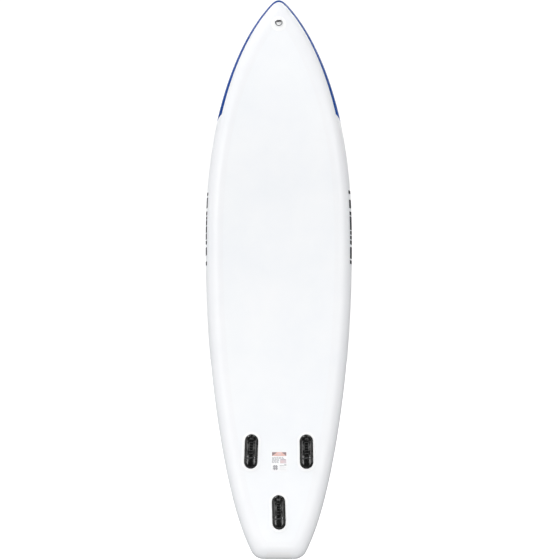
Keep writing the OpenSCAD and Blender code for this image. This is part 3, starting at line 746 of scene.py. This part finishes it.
def ring_loop(b, at, off, patch_r):
    """A strap led round the ring's bar, with its two ends under the patch's upper disc."""
    under = [(TAB_END, UNDER_H), (TAB_END * 0.6, UNDER_H), (0.004, UNDER_H)]
    around = []
    for deg in range(-90, -271, -20):
        a = math.radians(deg)
        around.append((LOOP_R * math.cos(a), BAR_H + LOOP_R * math.sin(a)))
    over = [(0.0035, 0.0072), (0.0075, 0.0040), (0.011, OVER_H), (TAB_END, OVER_H)]
    path = smooth_path(under + around + over, 3)
    loops = ribbon(path, lambda t: LOOP_W, LOOP_T)
    b.paint = 0
    b.loft([[at @ Vector(p) for p in loop] for loop in loops])
    b.paint = 1
    cover_r = patch_r - 0.002
    loops = []
    for y in spread(COVER_FROM, cover_r - off - 0.0004, 18):
        half = math.sqrt(cover_r**2 - (y + off) ** 2)
        rows = spread(-half, half, 40)
        fall = min(1, max(0, (TAB_END + FALL - y) / FALL))
        top = []
        for x in rows:
            ridge = min(1, max(0, (RIDGE_HALF - abs(x)) / RIDGE_RAMP), fall)
            ridge *= ridge * (3 - 2 * ridge)
            top.append(at @ Vector((x, y, PATCH_T + COVER_T + COVER_RISE * ridge)))
        loops.append(top + [at @ Vector((x, y, PATCH_T - 0.0002)) for x in rows[::-1]])
    b.loft(loops)


for _, _, name, node, rings, side, patch_r, off in RINGS:
    b = Builder()
    for x, s in [ring_foot(ring, side) for ring in rings]:
        ring_loop(b, hull_frame(x, s) if side == HULL else deck_frame(x, s), off, patch_r)
    piece(b.done(name, [WEBBING, PATCH]), "board", "webbing", node)

# ---- fin boxes ----

BOX_H = 0.010
BASE_T = 0.003
BEVEL_W = 0.009
POCKET_R = 0.022
POCKET_HALF = 0.0575
POCKET_MID = -0.0025
FLOOR_Z = 0.0022
PIN = (0.020, -0.033)
BOSS_R = 0.0065
BOSS_TOP = 0.0102
NOTCH_HALF, NOTCH_FROM, NOTCH_FLOOR = 0.008, 0.073, 0.0052
NOTCH_PAST, NOTCH_ABOVE = 0.110, 0.03
LIP_IN, LIP_OUT = 0.012, 0.0222
LIP_REAR, LIP_FRONT = -0.024, 0.055
RIDGE_X, RIDGE_W = 0.0185, 0.0009
RIBS, RIB_PITCH, RIB_FIRST = 6, 0.0155, 0.0675
RIB_HALF, RIB_W = 0.0105, 0.0015
BOWL_Y = -0.060
BOWL_RINGS = (0.0085, 0.0125, 0.0165)


def fin_box(name, yaw):
    """The moulded channel: a sloping rim, a flat land round a sunk pocket, and a notch at the front."""
    w = BOX_W / 2
    rim = [(w - 0.0004, 0), (w, 0.0004), (w, BASE_T - 0.0008), (w - 0.0008, BASE_T),
           (w - 0.0018, BASE_T + 0.0011), (w - BEVEL_W + 0.0014, BOX_H - 0.0011),
           (w - BEVEL_W + 0.0005, BOX_H - 0.0003), (w - BEVEL_W - 0.0006, BOX_H)]
    loops = [stadium(r, BOX_HALF, 0, z) for r, z in rim]
    pocket = [(0.0010, BOX_H), (0.0003, BOX_H - 0.0003), (0, BOX_H - 0.0010),
              (0, FLOOR_Z + 0.0015), (-0.0005, FLOOR_Z + 0.0004), (-0.0016, FLOOR_Z)]
    loops += [stadium(POCKET_R + r, POCKET_HALF, POCKET_MID, z) for r, z in pocket]
    b = Builder()
    b.loft(loops)
    obj = b.done("fin_box_shell_" + name, [BLACK, LATCH], box_frame(name, yaw)
                 @ Matrix.Translation((0, 0, PATCH_T)))
    b = Builder()
    b.block((-NOTCH_HALF, NOTCH_FROM, NOTCH_FLOOR), (NOTCH_HALF, NOTCH_PAST, NOTCH_ABOVE), 0.0008)
    cut(obj, b.done("notch", [BLACK, LATCH], box_frame(name, yaw) @ Matrix.Translation((0, 0, PATCH_T))))
    return obj


def fin_box_details(name, yaw):
    """What is moulded inside the pocket: two lips, ribs, the latch boss and a rear bowl."""
    b = Builder()
    for side in (-1, 1):
        near, far = sorted((side * LIP_IN, side * LIP_OUT))
        b.block((near, LIP_REAR, 0.0062), (far, LIP_FRONT, 0.0084), 0.0006)
        x = side * RIDGE_X
        b.block((x - RIDGE_W, LIP_REAR + 0.004, 0.0082), (x + RIDGE_W, LIP_FRONT - 0.005, 0.0092), 0.0005)
    # The ribs are moulded in the box's black, but they take the lighter latch plastic as a painted
    # highlight along each rib.
    b.paint = 1
    for k in range(RIBS):
        y = RIB_FIRST - k * RIB_PITCH
        b.block((-RIB_HALF, y - RIB_W, 0.0018), (RIB_HALF, y + RIB_W, 0.0034), 0.0005)
    b.paint = 0
    b.turned([(BOSS_R + 0.0008, FLOOR_Z - 0.0004), (BOSS_R, FLOOR_Z + 0.001), (BOSS_R, BOSS_TOP - 0.0006),
              (BOSS_R - 0.0006, BOSS_TOP), (0.0021, BOSS_TOP), (0.0021, BOSS_TOP - 0.0006)], PIN, 32)
    for r in BOWL_RINGS:
        loops = []
        for k in range(17):
            a = math.radians(200 + 140 * k / 16)
            tip = 0.4 if k in (0, 16) else 1
            section = [(r - 0.0009, 0), (r - 0.0004, 0.0011 * tip),
                       (r + 0.0004, 0.0011 * tip), (r + 0.0009, 0)]
            loops.append([(q * math.cos(a), BOWL_Y + q * math.sin(a), FLOOR_Z - 0.0002 + h)
                          for q, h in section])
        b.loft(loops)
    return b.done("fin_box_inside_" + name, [BLACK, LATCH], box_frame(name, yaw)
                  @ Matrix.Translation((0, 0, PATCH_T)))


for name, yaw in FIN_BOXES.items():
    piece(fin_box(name, yaw), "board", "black_plastic", "fin_box_" + name)
    piece(fin_box_details(name, yaw), "board", "black_plastic", "fin_box_" + name)

# The latch lever: an eye on the pin, a ribbed arm with round edges and a thumb ridge
LATCH_Z = 0.0116
LATCH_T = 0.0042
LATCH_LEN = 0.053
LATCH_ANGLE = 188.6
LATCH_EDGE = 0.0006
EYE_R = 0.0021
ARM_HALF = 0.004
THUMB_RIDGES, THUMB_PITCH = 3, 0.0034


def latch(name, yaw):
    """One lever, at its closed angle across the box."""
    at = box_frame(name, yaw) @ Matrix.Translation((*PIN, LATCH_Z))
    arm = Matrix.Rotation(math.radians(LATCH_ANGLE), 4, "Z")
    b = Builder()
    edge = LATCH_EDGE
    b.turned([(BOSS_R - edge, 0), (BOSS_R, edge), (BOSS_R, LATCH_T - edge), (BOSS_R - edge, LATCH_T),
              (EYE_R + 0.0005, LATCH_T), (EYE_R, LATCH_T - edge), (EYE_R, 0)], steps=40)
    mid = LATCH_LEN / 2
    rings = [(ARM_HALF - edge, 0), (ARM_HALF, edge), (ARM_HALF, LATCH_T - edge), (ARM_HALF - edge, LATCH_T)]
    turned = Matrix.Rotation(-math.pi / 2, 4, "Z")
    b.loft([[arm @ turned @ Vector(p) for p in stadium(r, mid - ARM_HALF, mid + 0.001, z, 12)]
            for r, z in rings])
    for k in range(THUMB_RIDGES):
        x = LATCH_LEN - 0.0125 + k * THUMB_PITCH
        b.block((x, -0.0028, LATCH_T - 0.0004), (x + 0.0015, 0.0028, LATCH_T + 0.0010), 0.0004, arm)
    return b.done("latch_lever_" + name, [LATCH], at)


for name, yaw in FIN_BOXES.items():
    piece(latch(name, yaw), "latch_" + name, "latch_plastic", "fin_latch_" + name)

# ---- information label: blocks of plain bars where a real one carries print ----

LABEL_LOW, LABEL_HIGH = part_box("info_label")
LABEL_W, LABEL_L = LABEL_HIGH.x - LABEL_LOW.x, LABEL_HIGH.z - LABEL_LOW.z
LABEL_T = LABEL_HIGH.y - LABEL_LOW.y
INK_T = 0.00006
PEACH, GREY, ROSE, FAINT = 1, 2, 3, 4


def info_label():
    """The film with a headed panel, rows of word-long bars, a small panel and a grid of blocks."""
    at = hull_frame(*node_place("info_label"))
    b = Builder()

    def bar(u0, v0, u1, v1, paint, layer=1):
        """A printed bar between shares of the label's width and height, from its upper left corner."""
        b.paint = paint
        x0, x1 = (u0 - 0.5) * LABEL_W, (u1 - 0.5) * LABEL_W
        y0, y1 = (0.5 - v1) * LABEL_L, (0.5 - v0) * LABEL_L
        b.block((x0, y0, LABEL_T * 0.9), (x1, y1, LABEL_T + INK_T * layer), INK_T * 0.4)

    b.block((-LABEL_W / 2, -LABEL_L / 2, 0.00002), (LABEL_W / 2, LABEL_L / 2, LABEL_T), 0.0001)
    bar(0.04, 0.01, 0.94, 0.21, PEACH)
    for near, far in ((0.045, 0.34), (0.935, 0.66)):
        for k in range(8):
            left, right = sorted((near, near + (far - near) * (1 - k / 8)))
            bar(left, 0.02 + 0.023 * k, right, 0.038 + 0.023 * k, GREY, 2)
    bar(0.40, 0.08, 0.60, 0.13, ROSE, 2)
    for row in range(6):
        start = 0.04
        for word in range(3 if row > 1 else 5):
            long = 0.10 + 0.05 * ((row * 3 + word * 5) % 4) / 3
            bar(start, 0.265 + row * 0.055, start + long, 0.288 + row * 0.055, GREY)
            start += long + 0.025
    bar(0.54, 0.37, 0.93, 0.59, ROSE)
    for row in range(3):
        bar(0.57, 0.39 + row * 0.07, 0.89 - 0.07 * row, 0.41 + row * 0.07, PEACH if row else GREY, 2)
    for row in range(7):
        for col in range(7):
            if (row * col + row + 2 * col) % 3:
                bar(0.10 + col * 0.042, 0.68 + row * 0.036, 0.138 + col * 0.042, 0.712 + row * 0.036, GREY)
    bar(0.80, 0.63, 0.94, 0.65, GREY)
    for row in range(5):
        bar(0.52, 0.69 + row * 0.055, 0.94 - 0.14 * (row % 2), 0.705 + row * 0.055, FAINT if row else GREY)
    return b.done("info_label_print", [FILM, INK_PEACH, INK_GREY, INK_ROSE, INK_FAINT], at)


piece(info_label(), "board", "label", "info_label")

# ---- deck pads: foam planks with pressed grooves and rounded edges ----

PAD_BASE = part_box("pad_rear")[0].y
PAD_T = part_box("pad_rear")[1].y - PAD_BASE
PAD_EDGE = 0.0022
PAD_ROUND = [(0.0, 0.3), (0.0006, 0.75), (PAD_EDGE, 1.0)]
GROOVE_W = 0.0022
GROOVE_D = 0.0020
PAD_MARGIN = 0.016
HANDLE_CLEAR = 0.062
PAD_NOSE_LEN = 0.150


def pad_half(s):
    """Half the width of the padded area, which keeps a margin inside the seam."""
    return seam_half(s) - PAD_MARGIN


def pad(name, rows, node, planks, material):
    """A pad of (s, lowest x, highest x) rows, whose columns gather at the grooves and the two edges."""
    width = rows[len(rows) // 2][2] - rows[len(rows) // 2][1]
    columns = [(d / width, k) for d, k in PAD_ROUND]
    for k in range(1, planks):
        middle = k / planks
        for off, level in ((-1, 1.0), (-0.5, 1 - GROOVE_D / PAD_T), (0.5, 1 - GROOVE_D / PAD_T), (1, 1.0)):
            columns.append((middle + off * GROOVE_W / width, level))
    columns += [(1 - d / width, k) for d, k in PAD_ROUND[::-1]]
    span = rows[-1][0] - rows[0][0]
    inner = [(r[0] - rows[0][0], 1.0) for r in rows[1:-1]
             if PAD_EDGE * 1.5 < r[0] - rows[0][0] < span - PAD_EDGE * 1.5]
    lines = PAD_ROUND + inner + [(span - d, k) for d, k in PAD_ROUND[::-1]]
    b = Builder()
    loops = []
    for along, end_level in lines:
        s = rows[0][0] + along
        after = next(i for i, r in enumerate(rows) if r[0] >= s - 1e-9)
        a, c = rows[max(after - 1, 0)], rows[after]
        t = (s - a[0]) / (c[0] - a[0]) if c[0] > a[0] else 0.0
        low, high = a[1] + (c[1] - a[1]) * t, a[2] + (c[2] - a[2]) * t
        top = [place(low + (high - low) * u, PAD_BASE + PAD_T * min(level, end_level), s)
               for u, level in columns]
        loops.append(top + [place(high, PAD_BASE, s), place(low, PAD_BASE, s)])
    b.loft(loops)
    slot = "eva_grey" if material == EVA else "eva_dark"
    obj = piece(b.done(name, [material], sharp=28), "board", slot, node)


def pad_span(node):
    """(nose end, tail end) of a pad as distances from the nose."""
    low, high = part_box(node)
    return LENGTH / 2 - high.z, LENGTH / 2 - low.z


def straight_rows(s0, s1):
    """Rows of a pad that reaches from margin to margin."""
    return [(s, -pad_half(s), pad_half(s)) for s in spread(s0, s1, 24)]


NOSE_CUT = 12
front = []
front_s0, front_s1 = pad_span("pad_front")
nose_s0 = front_s0 - PAD_NOSE_LEN * (1 - math.cos(math.radians(NOSE_CUT)))
for deg in spread(NOSE_CUT, 90, 26):
    s = nose_s0 + PAD_NOSE_LEN * (1 - math.cos(math.radians(deg)))
    reach = pad_half(s) * math.sin(math.radians(deg))
    front.append((s, -reach, reach))
front += straight_rows(nose_s0 + PAD_NOSE_LEN + 0.02, front_s1)
pad("deck_pad_front", front, "pad_front", 9, EVA)
mid_s0, mid_s1 = pad_span("pad_mid_port")
mid = [(s, HANDLE_CLEAR, pad_half(s)) for s in spread(mid_s0, mid_s1, 12)]
pad("deck_pad_mid_port", mid, "pad_mid_port", 4, EVA)
pad("deck_pad_mid_starboard", [(s, -high, -low) for s, low, high in mid], "pad_mid_starboard", 4, EVA)
pad("deck_pad_rear", straight_rows(*pad_span("pad_rear")), "pad_rear", 9, EVA)
pad("deck_pad_tail", straight_rows(*pad_span("pad_tail")), "pad_tail", 9, EVA_DARK)

RIDGE_LOW, RIDGE_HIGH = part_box("kick_ridge")


def kick_ridge():
    """A foam ridge across the tail: steep on the tail side, sloping forward, with softened ends."""
    section = [(0.0215, 0.0006), (0.0200, 0.0035), (0.0170, 0.0058), (0.0060, 0.0130), (-0.0055, 0.0200),
               (-0.0085, 0.0216), (-0.0130, 0.0216), (-0.0158, 0.0200), (-0.0185, 0.0120),
               (-0.0212, 0.0052), (-0.0219, 0.0012), (-0.0215, 0.0001), (0.0210, 0.0001)]
    half = (RIDGE_HIGH.x - RIDGE_LOW.x) / 2
    ends = [(half, 0.55), (half - 0.0012, 0.86), (half - 0.004, 0.97), (half - 0.009, 1.0)]
    stops = [(-x, k) for x, k in ends] + [(0, 1.0)] + [(x, k) for x, k in ends[::-1]]
    b = Builder()
    b.loft([[(x, y * (0.75 + 0.25 * k), max(z * k, 0.0001)) for y, z in section] for x, k in stops])
    ridge_s = node_place("kick_ridge")[1]
    at = deck_frame(0, ridge_s) @ Matrix.Translation((0, 0, PAD_BASE - THICK + PAD_T + TRIM))
    return b.done("kick_ridge_foam", [EVA_DARK], at, 50)


ridge = piece(kick_ridge(), "board", "eva_dark", "kick_ridge")

# ---- carry handle ----

HANDLE_S = LENGTH / 2
GRIP_LOW, GRIP_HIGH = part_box("handle_grip")
GRIP_H = (GRIP_LOW.y + GRIP_HIGH.y) / 2 - THICK
GRIP_R = (GRIP_HIGH.x - GRIP_LOW.x) / 2
GRIP_HALF = (GRIP_HIGH.z - GRIP_LOW.z) / 2
STRAP_W, STRAP_T = 0.025, 0.0024
STRAP_END_W = 0.008
PIVOT_H = 0.0056
TAB_FROM, TAB_TO = 0.092, 0.154
TAB_W, TAB_T = 0.038, 0.0020
FOLD_X, FOLD_HALF = 0.008, 0.0025
FOLD_FROM, FOLD_TO, FOLD_H = 0.080, 0.103, 0.0066
MOUNT_S, MOUNT_X, MOUNT_Y, MOUNT_CORNER = 0.125, 0.048, 0.045, 0.014
THREAD_R = 0.0004
STITCHES, STITCH_PITCH = 18, 0.006
BOX_X = 0.015
BOX_STITCHES, BOX_FROM, BOX_STEP = 9, 0.104, 0.0055
END_STITCHES, END_STEP = 6, 0.005
END_ROWS = (0.1015, 0.1505)


def handle_webbing(name, end):
    """Half of the strap, from inside the grip down to its sewn tab."""
    points = [(0, GRIP_H), (0.058, GRIP_H), (0.066, GRIP_H - 0.003), (0.073, GRIP_H - 0.013),
              (0.078, PIVOT_H + 0.002), (0.083, PIVOT_H), (0.090, PIVOT_H)]
    path = smooth_path([(end * y, z) for y, z in points], 6)

    def width(t):
        """The strap narrows from its full width above the bend to its folded end."""
        return STRAP_END_W + (STRAP_W - STRAP_END_W) * min(1, max(0, (0.92 - t) / 0.30))

    b = Builder()
    b.loft(ribbon(path, width, STRAP_T))
    obj = b.done(name, [WEBBING], deck_frame(0, HANDLE_S))
    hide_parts("handle_strap")
    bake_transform(obj)


handle_webbing("handle_webbing_front", 1)
handle_webbing("handle_webbing_rear", -1)


def grip():
    """A neoprene sleeve, crowned in the middle, pulled in at the seams and slack at its ends."""
    b = Builder()
    loops = []
    for k in range(61):
        u = -1 + k / 30
        end = abs(u)
        crown = 1 - 0.10 * u**2 - 0.35 * max(0, (end - 0.93) / 0.07) ** 2
        ring = 1 - 0.05 * math.exp(-((end - 0.86) / 0.015) ** 2)
        wrinkle = 0.012 * math.sin(9 * u * math.pi)
        loop = []
        for i in range(48):
            a = 2 * math.pi * i / 48
            seam = 1 - 0.10 * math.exp(-((math.sin((a + math.pi / 2) / 2)) / 0.07) ** 2)
            r = (GRIP_R - 0.0002) * crown * ring * seam * (1 - 0.012 + wrinkle * math.cos(2 * a))
            loop.append((r * math.cos(a), u * GRIP_HALF, 0.96 * r * math.sin(a)))
        loops.append(loop)
    b.loft(loops)
    b.paint = 1
    for k in range(STITCHES):
        y = (k - (STITCHES - 1) / 2) * STITCH_PITCH
        for x in (-0.0034, 0.0034):
            b.block((x - THREAD_R, y - 0.0017, -GRIP_R * 0.955),
                    (x + THREAD_R, y + 0.0017, -GRIP_R * 0.875), THREAD_R / 2)
    at = deck_frame(0, HANDLE_S) @ Matrix.Translation((0, 0, GRIP_H))
    return b.done("handle_sleeve", [NEOPRENE, THREAD], at, 60)


sleeve = piece(grip(), "handle", "neoprene", "handle_grip")


def handle_mounts():
    """The patches under the two tabs, the tabs with their folded loops, and the box stitching."""
    at = deck_frame(0, HANDLE_S)
    b = Builder()
    for end in (-1, 1):
        rings = [(0, TRIM), (0, PATCH_T * PATCH_RIM), (PATCH_BEVEL, PATCH_T), (0.012, PATCH_T)]
        loops = []
        for inset, z in rings:
            loop = []
            for deg in range(0, 360, 9):
                quarter = deg // 90
                cx = (MOUNT_X - MOUNT_CORNER) * (1 if quarter in (0, 3) else -1)
                cy = (MOUNT_Y - MOUNT_CORNER) * (1 if quarter in (0, 1) else -1)
                a = math.radians(deg)
                r = MOUNT_CORNER - min(inset, MOUNT_CORNER * 0.9)
                loop.append(at @ Vector((cx + r * math.cos(a), end * MOUNT_S + cy + r * math.sin(a), z)))
            loops.append(loop)
        b.loft(loops)
    piece(b.done("handle_base_patches", [PATCH]), "board", "patch_white", "handle_patches")

    tab_z = PATCH_T + 0.0012
    b = Builder()
    for end in (-1, 1):
        path = smooth_path([(end * TAB_TO, tab_z), (end * 0.13, tab_z + 0.0002),
                            (end * 0.108, tab_z + 0.0001), (end * TAB_FROM, tab_z)], 6)
        b.loft([[at @ Vector(p) for p in loop] for loop in ribbon(path, lambda t: TAB_W, TAB_T)])
        near, far = sorted((end * FOLD_FROM, end * FOLD_TO))
        for x in (-FOLD_X, FOLD_X):
            b.block((x - FOLD_HALF, near, PATCH_T + 0.0001), (x + FOLD_HALF, far, PATCH_T + FOLD_H),
                    0.0012, at)
    piece(b.done("handle_tab_webbing", [WEBBING]), "board", "webbing", "handle_tabs")

    b = Builder()
    top = tab_z + 0.0009

    def stitch(x, y, half_x, half_y):
        """One stitch that stands on the tab."""
        b.block((x - half_x, y - half_y, top), (x + half_x, y + half_y, top + 0.0006), THREAD_R / 2, at)

    for end in (-1, 1):
        for k in range(BOX_STITCHES):
            y = end * (BOX_FROM + k * BOX_STEP)
            cross = 2 * BOX_X * k / (BOX_STITCHES - 1)
            for x in (-BOX_X, BOX_X, -BOX_X + cross, BOX_X - cross):
                stitch(x, y, THREAD_R, 0.0018)
        for y in END_ROWS:
            for k in range(END_STITCHES):
                stitch((k - (END_STITCHES - 1) / 2) * END_STEP, end * y, 0.0016, THREAD_R)
    piece(b.done("handle_stitching", [THREAD]), "board", "thread", "handle_stitches")


handle_mounts()

# ---- the valve spring ----

SPRING_TURNS = 5
SPRING_STEPS, WIRE_SIDES = 28, 10
END_CLOSING = 0.08
WIRE_R = 0.00055


def valve_spring():
    """A coil of round wire whose end turns lie closer than its middle ones."""
    low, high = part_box("valve_spring")
    middle = Vector(((low.x + high.x) / 2, 0, (low.z + high.z) / 2))
    tall = high.y - low.y
    radius = (high.x - low.x) / 2 - WIRE_R
    round_wire = [2 * math.pi * k / WIRE_SIDES for k in range(WIRE_SIDES)]
    loops = []
    for t in spread(0, 1, SPRING_TURNS * SPRING_STEPS):
        turn = 2 * math.pi * SPRING_TURNS * t
        y = low.y + WIRE_R + (tall - 2 * WIRE_R) * (t - END_CLOSING * math.sin(2 * math.pi * t))
        section = [(radius + WIRE_R * math.cos(a), y + WIRE_R * math.sin(a)) for a in round_wire]
        loops.append([middle + Vector((r * math.cos(turn), h, r * math.sin(turn))) for r, h in section])
    b = Builder()
    b.loft(loops)
    coil = piece(b.done("valve_coil", [STEEL], sharp=80), "board", "steel", "valve_spring")
    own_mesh(coil)


valve_spring()

# ---- CAD nodes that stay, with rounded edges and their own finish ----

# The tow ring takes the darker copy of the steel, which is painted shade.
KEPT = {
    "hull_fabric": CLOTH, "deck_fabric": CLOTH, "inner_rail_port": CLOTH, "inner_rail_starboard": CLOTH,
    "drop_threads": THREAD, "fin_pins": STEEL, "tow_ring": SHADED_STEEL, "cargo_ring_1": STEEL,
    "cargo_ring_2": STEEL, "cargo_ring_3": STEEL, "cargo_ring_4": STEEL, "leash_ring": STEEL,
    "valve_body": VALVE, "valve_nut": VALVE, "valve_gasket": RUBBER, "valve_plunger": VALVE_BLUE,
    "valve_seal": RUBBER, "valve_button": VALVE_BLUE, "valve_cap": VALVE, "cap_gasket": RUBBER,
    "cap_tether": VALVE,
}
WELD_GAP = 1e-6
ROUNDED = {"fin_pins": 0.0004, "valve_body": 0.0006, "valve_button": 0.0004, "valve_cap": 0.0007,
           "cap_tether": 0.0004, "valve_nut": 0.0006}
for name, material in KEPT.items():
    node = frame["nodes"][name]
    for slot in node.material_slots:
        slot.material = material
    if name in ROUNDED:
        weld = node.modifiers.new("weld", "WELD")
        weld.merge_threshold = WELD_GAP
        bevel = node.modifiers.new("bevel", "BEVEL")
        bevel.width = ROUNDED[name]
        bevel.segments = 2
        bevel.limit_method = "ANGLE"
        bevel.angle_limit = math.radians(40)

# ---- camera, light and floor ----

CAMERA_FAR = 80.0
SENSOR = 36.0
VIEW_SIZE = 3.184
VIEW_X, VIEW_Z = 0.0068, -0.004
FLOOR_SIZE = 400.0
FLOOR_T = 0.05
FLOOR_GAP = 0.001
FLOOR_GLOW = 0.55

camera = bpy.data.objects.new("camera", bpy.data.cameras.new("camera"))
camera.data.sensor_width = SENSOR
camera.data.lens = SENSOR * (CAMERA_FAR + R) / VIEW_SIZE
camera.data.clip_end = 1000
camera.location = (VIEW_X, -CAMERA_FAR, VIEW_Z)
camera.rotation_euler = (math.pi / 2, 0, 0)
bpy.context.scene.collection.objects.link(camera)
bpy.context.scene.camera = camera


def light(name, kind, towards, power):
    """A soft source: towards is the way from the board to the light."""
    made = bpy.data.objects.new(name, bpy.data.lights.new(name, kind))
    made.data.energy = power
    made.rotation_mode = "QUATERNION"
    made.rotation_quaternion = Vector(towards).to_track_quat("Z", "Y")
    bpy.context.scene.collection.objects.link(made)
    return made


SUNS = [
    ("front_left", (-0.55, -1.0, 0.10), 1.16, 24),
    ("front_right", (0.55, -1.0, 0.10), 1.25, 24),
    ("top_left_strip", (-0.51, -0.20, 0.82), 0.80, 16),
    ("top_right_strip", (0.45, -0.20, 0.85), 0.30, 16),
    ("back_left", (0.55, 1.0, 0.55), 1.45, 34),
    ("back_right", (-0.55, 1.0, 0.55), 1.05, 34),
]
for name, towards, strength, softness in SUNS:
    light(name, "SUN", towards, strength).data.angle = math.radians(softness)

# A square panel in front of the tail, which fills the lower end of the board
tail_panel = light("tail_panel", "AREA", (0, -3, -1.7), 15)
tail_panel.data.size = 1.2
tail_panel.location = (0, -3, -2.6)

SIDE_LIGHT, AHEAD_LOSS = 0.70, -0.665
UP_GAIN, PORT_GAIN = 0.08, -0.11
BACKDROP = 1.1


def studio_world():
    """Soft light, strongest from the sides, above and starboard, on a backdrop that looks white."""
    world = bpy.data.worlds.new("studio")
    bpy.context.scene.world = world
    world.use_nodes = True
    tree = world.node_tree
    tree.nodes.clear()

    def node(kind, operation=None, **inputs):
        made = tree.nodes.new(kind)
        if operation:
            made.operation = operation
        for socket, value in inputs.items():
            made.inputs[socket].default_value = value
        return made

    coords = node("ShaderNodeTexCoord")
    way = node("ShaderNodeSeparateXYZ")
    tree.links.new(coords.outputs["Generated"], way.inputs[0])
    ahead = node("ShaderNodeMath", "ABSOLUTE")
    tree.links.new(way.outputs["Y"], ahead.inputs[0])
    strength = node("ShaderNodeMath", "MULTIPLY_ADD")
    strength.inputs[1].default_value, strength.inputs[2].default_value = AHEAD_LOSS, SIDE_LIGHT
    tree.links.new(ahead.outputs[0], strength.inputs[0])
    for axis, gain in (("Z", UP_GAIN), ("X", PORT_GAIN)):
        added = node("ShaderNodeMath", "MULTIPLY_ADD")
        added.inputs[1].default_value = gain
        tree.links.new(way.outputs[axis], added.inputs[0])
        tree.links.new(strength.outputs[0], added.inputs[2])
        strength = added
    lit = node("ShaderNodeBackground", Color=(0.975, 0.985, 1.0, 1))
    tree.links.new(strength.outputs[0], lit.inputs["Strength"])
    white = node("ShaderNodeBackground", Color=(1, 1, 1, 1), Strength=BACKDROP)
    rays = node("ShaderNodeLightPath")
    mix = node("ShaderNodeMixShader")
    tree.links.new(rays.outputs["Is Camera Ray"], mix.inputs[0])
    tree.links.new(lit.outputs[0], mix.inputs[1])
    tree.links.new(white.outputs[0], mix.inputs[2])
    tree.links.new(mix.outputs[0], node("ShaderNodeOutputWorld").inputs["Surface"])


def pale_floor():
    """A wide white studio floor just under the tail, which casts no light or shadow on the board."""
    b = Builder()
    z = cad_low.z - FLOOR_GAP
    half = FLOOR_SIZE / 2
    b.loft([[(-half, -half, z + h), (half, -half, z + h), (half, half, z + h), (-half, half, z + h)]
            for h in (-FLOOR_T, 0)])
    finish = Finish("studio_floor", (0.82, 0.82, 0.82), 0.9, Specular_IOR_Level=0.1)
    finish.shader.inputs["Emission Color"].default_value = (1, 1, 1, 1)
    finish.shader.inputs["Emission Strength"].default_value = FLOOR_GLOW
    floor = b.done("studio_floor", [finish.made])
    floor.visible_diffuse = False
    floor.visible_glossy = False
    floor.visible_shadow = False


studio_world()
pale_floor()
bpy.context.scene.view_settings.view_transform = "Standard"
bpy.context.scene.view_settings.look = "None"
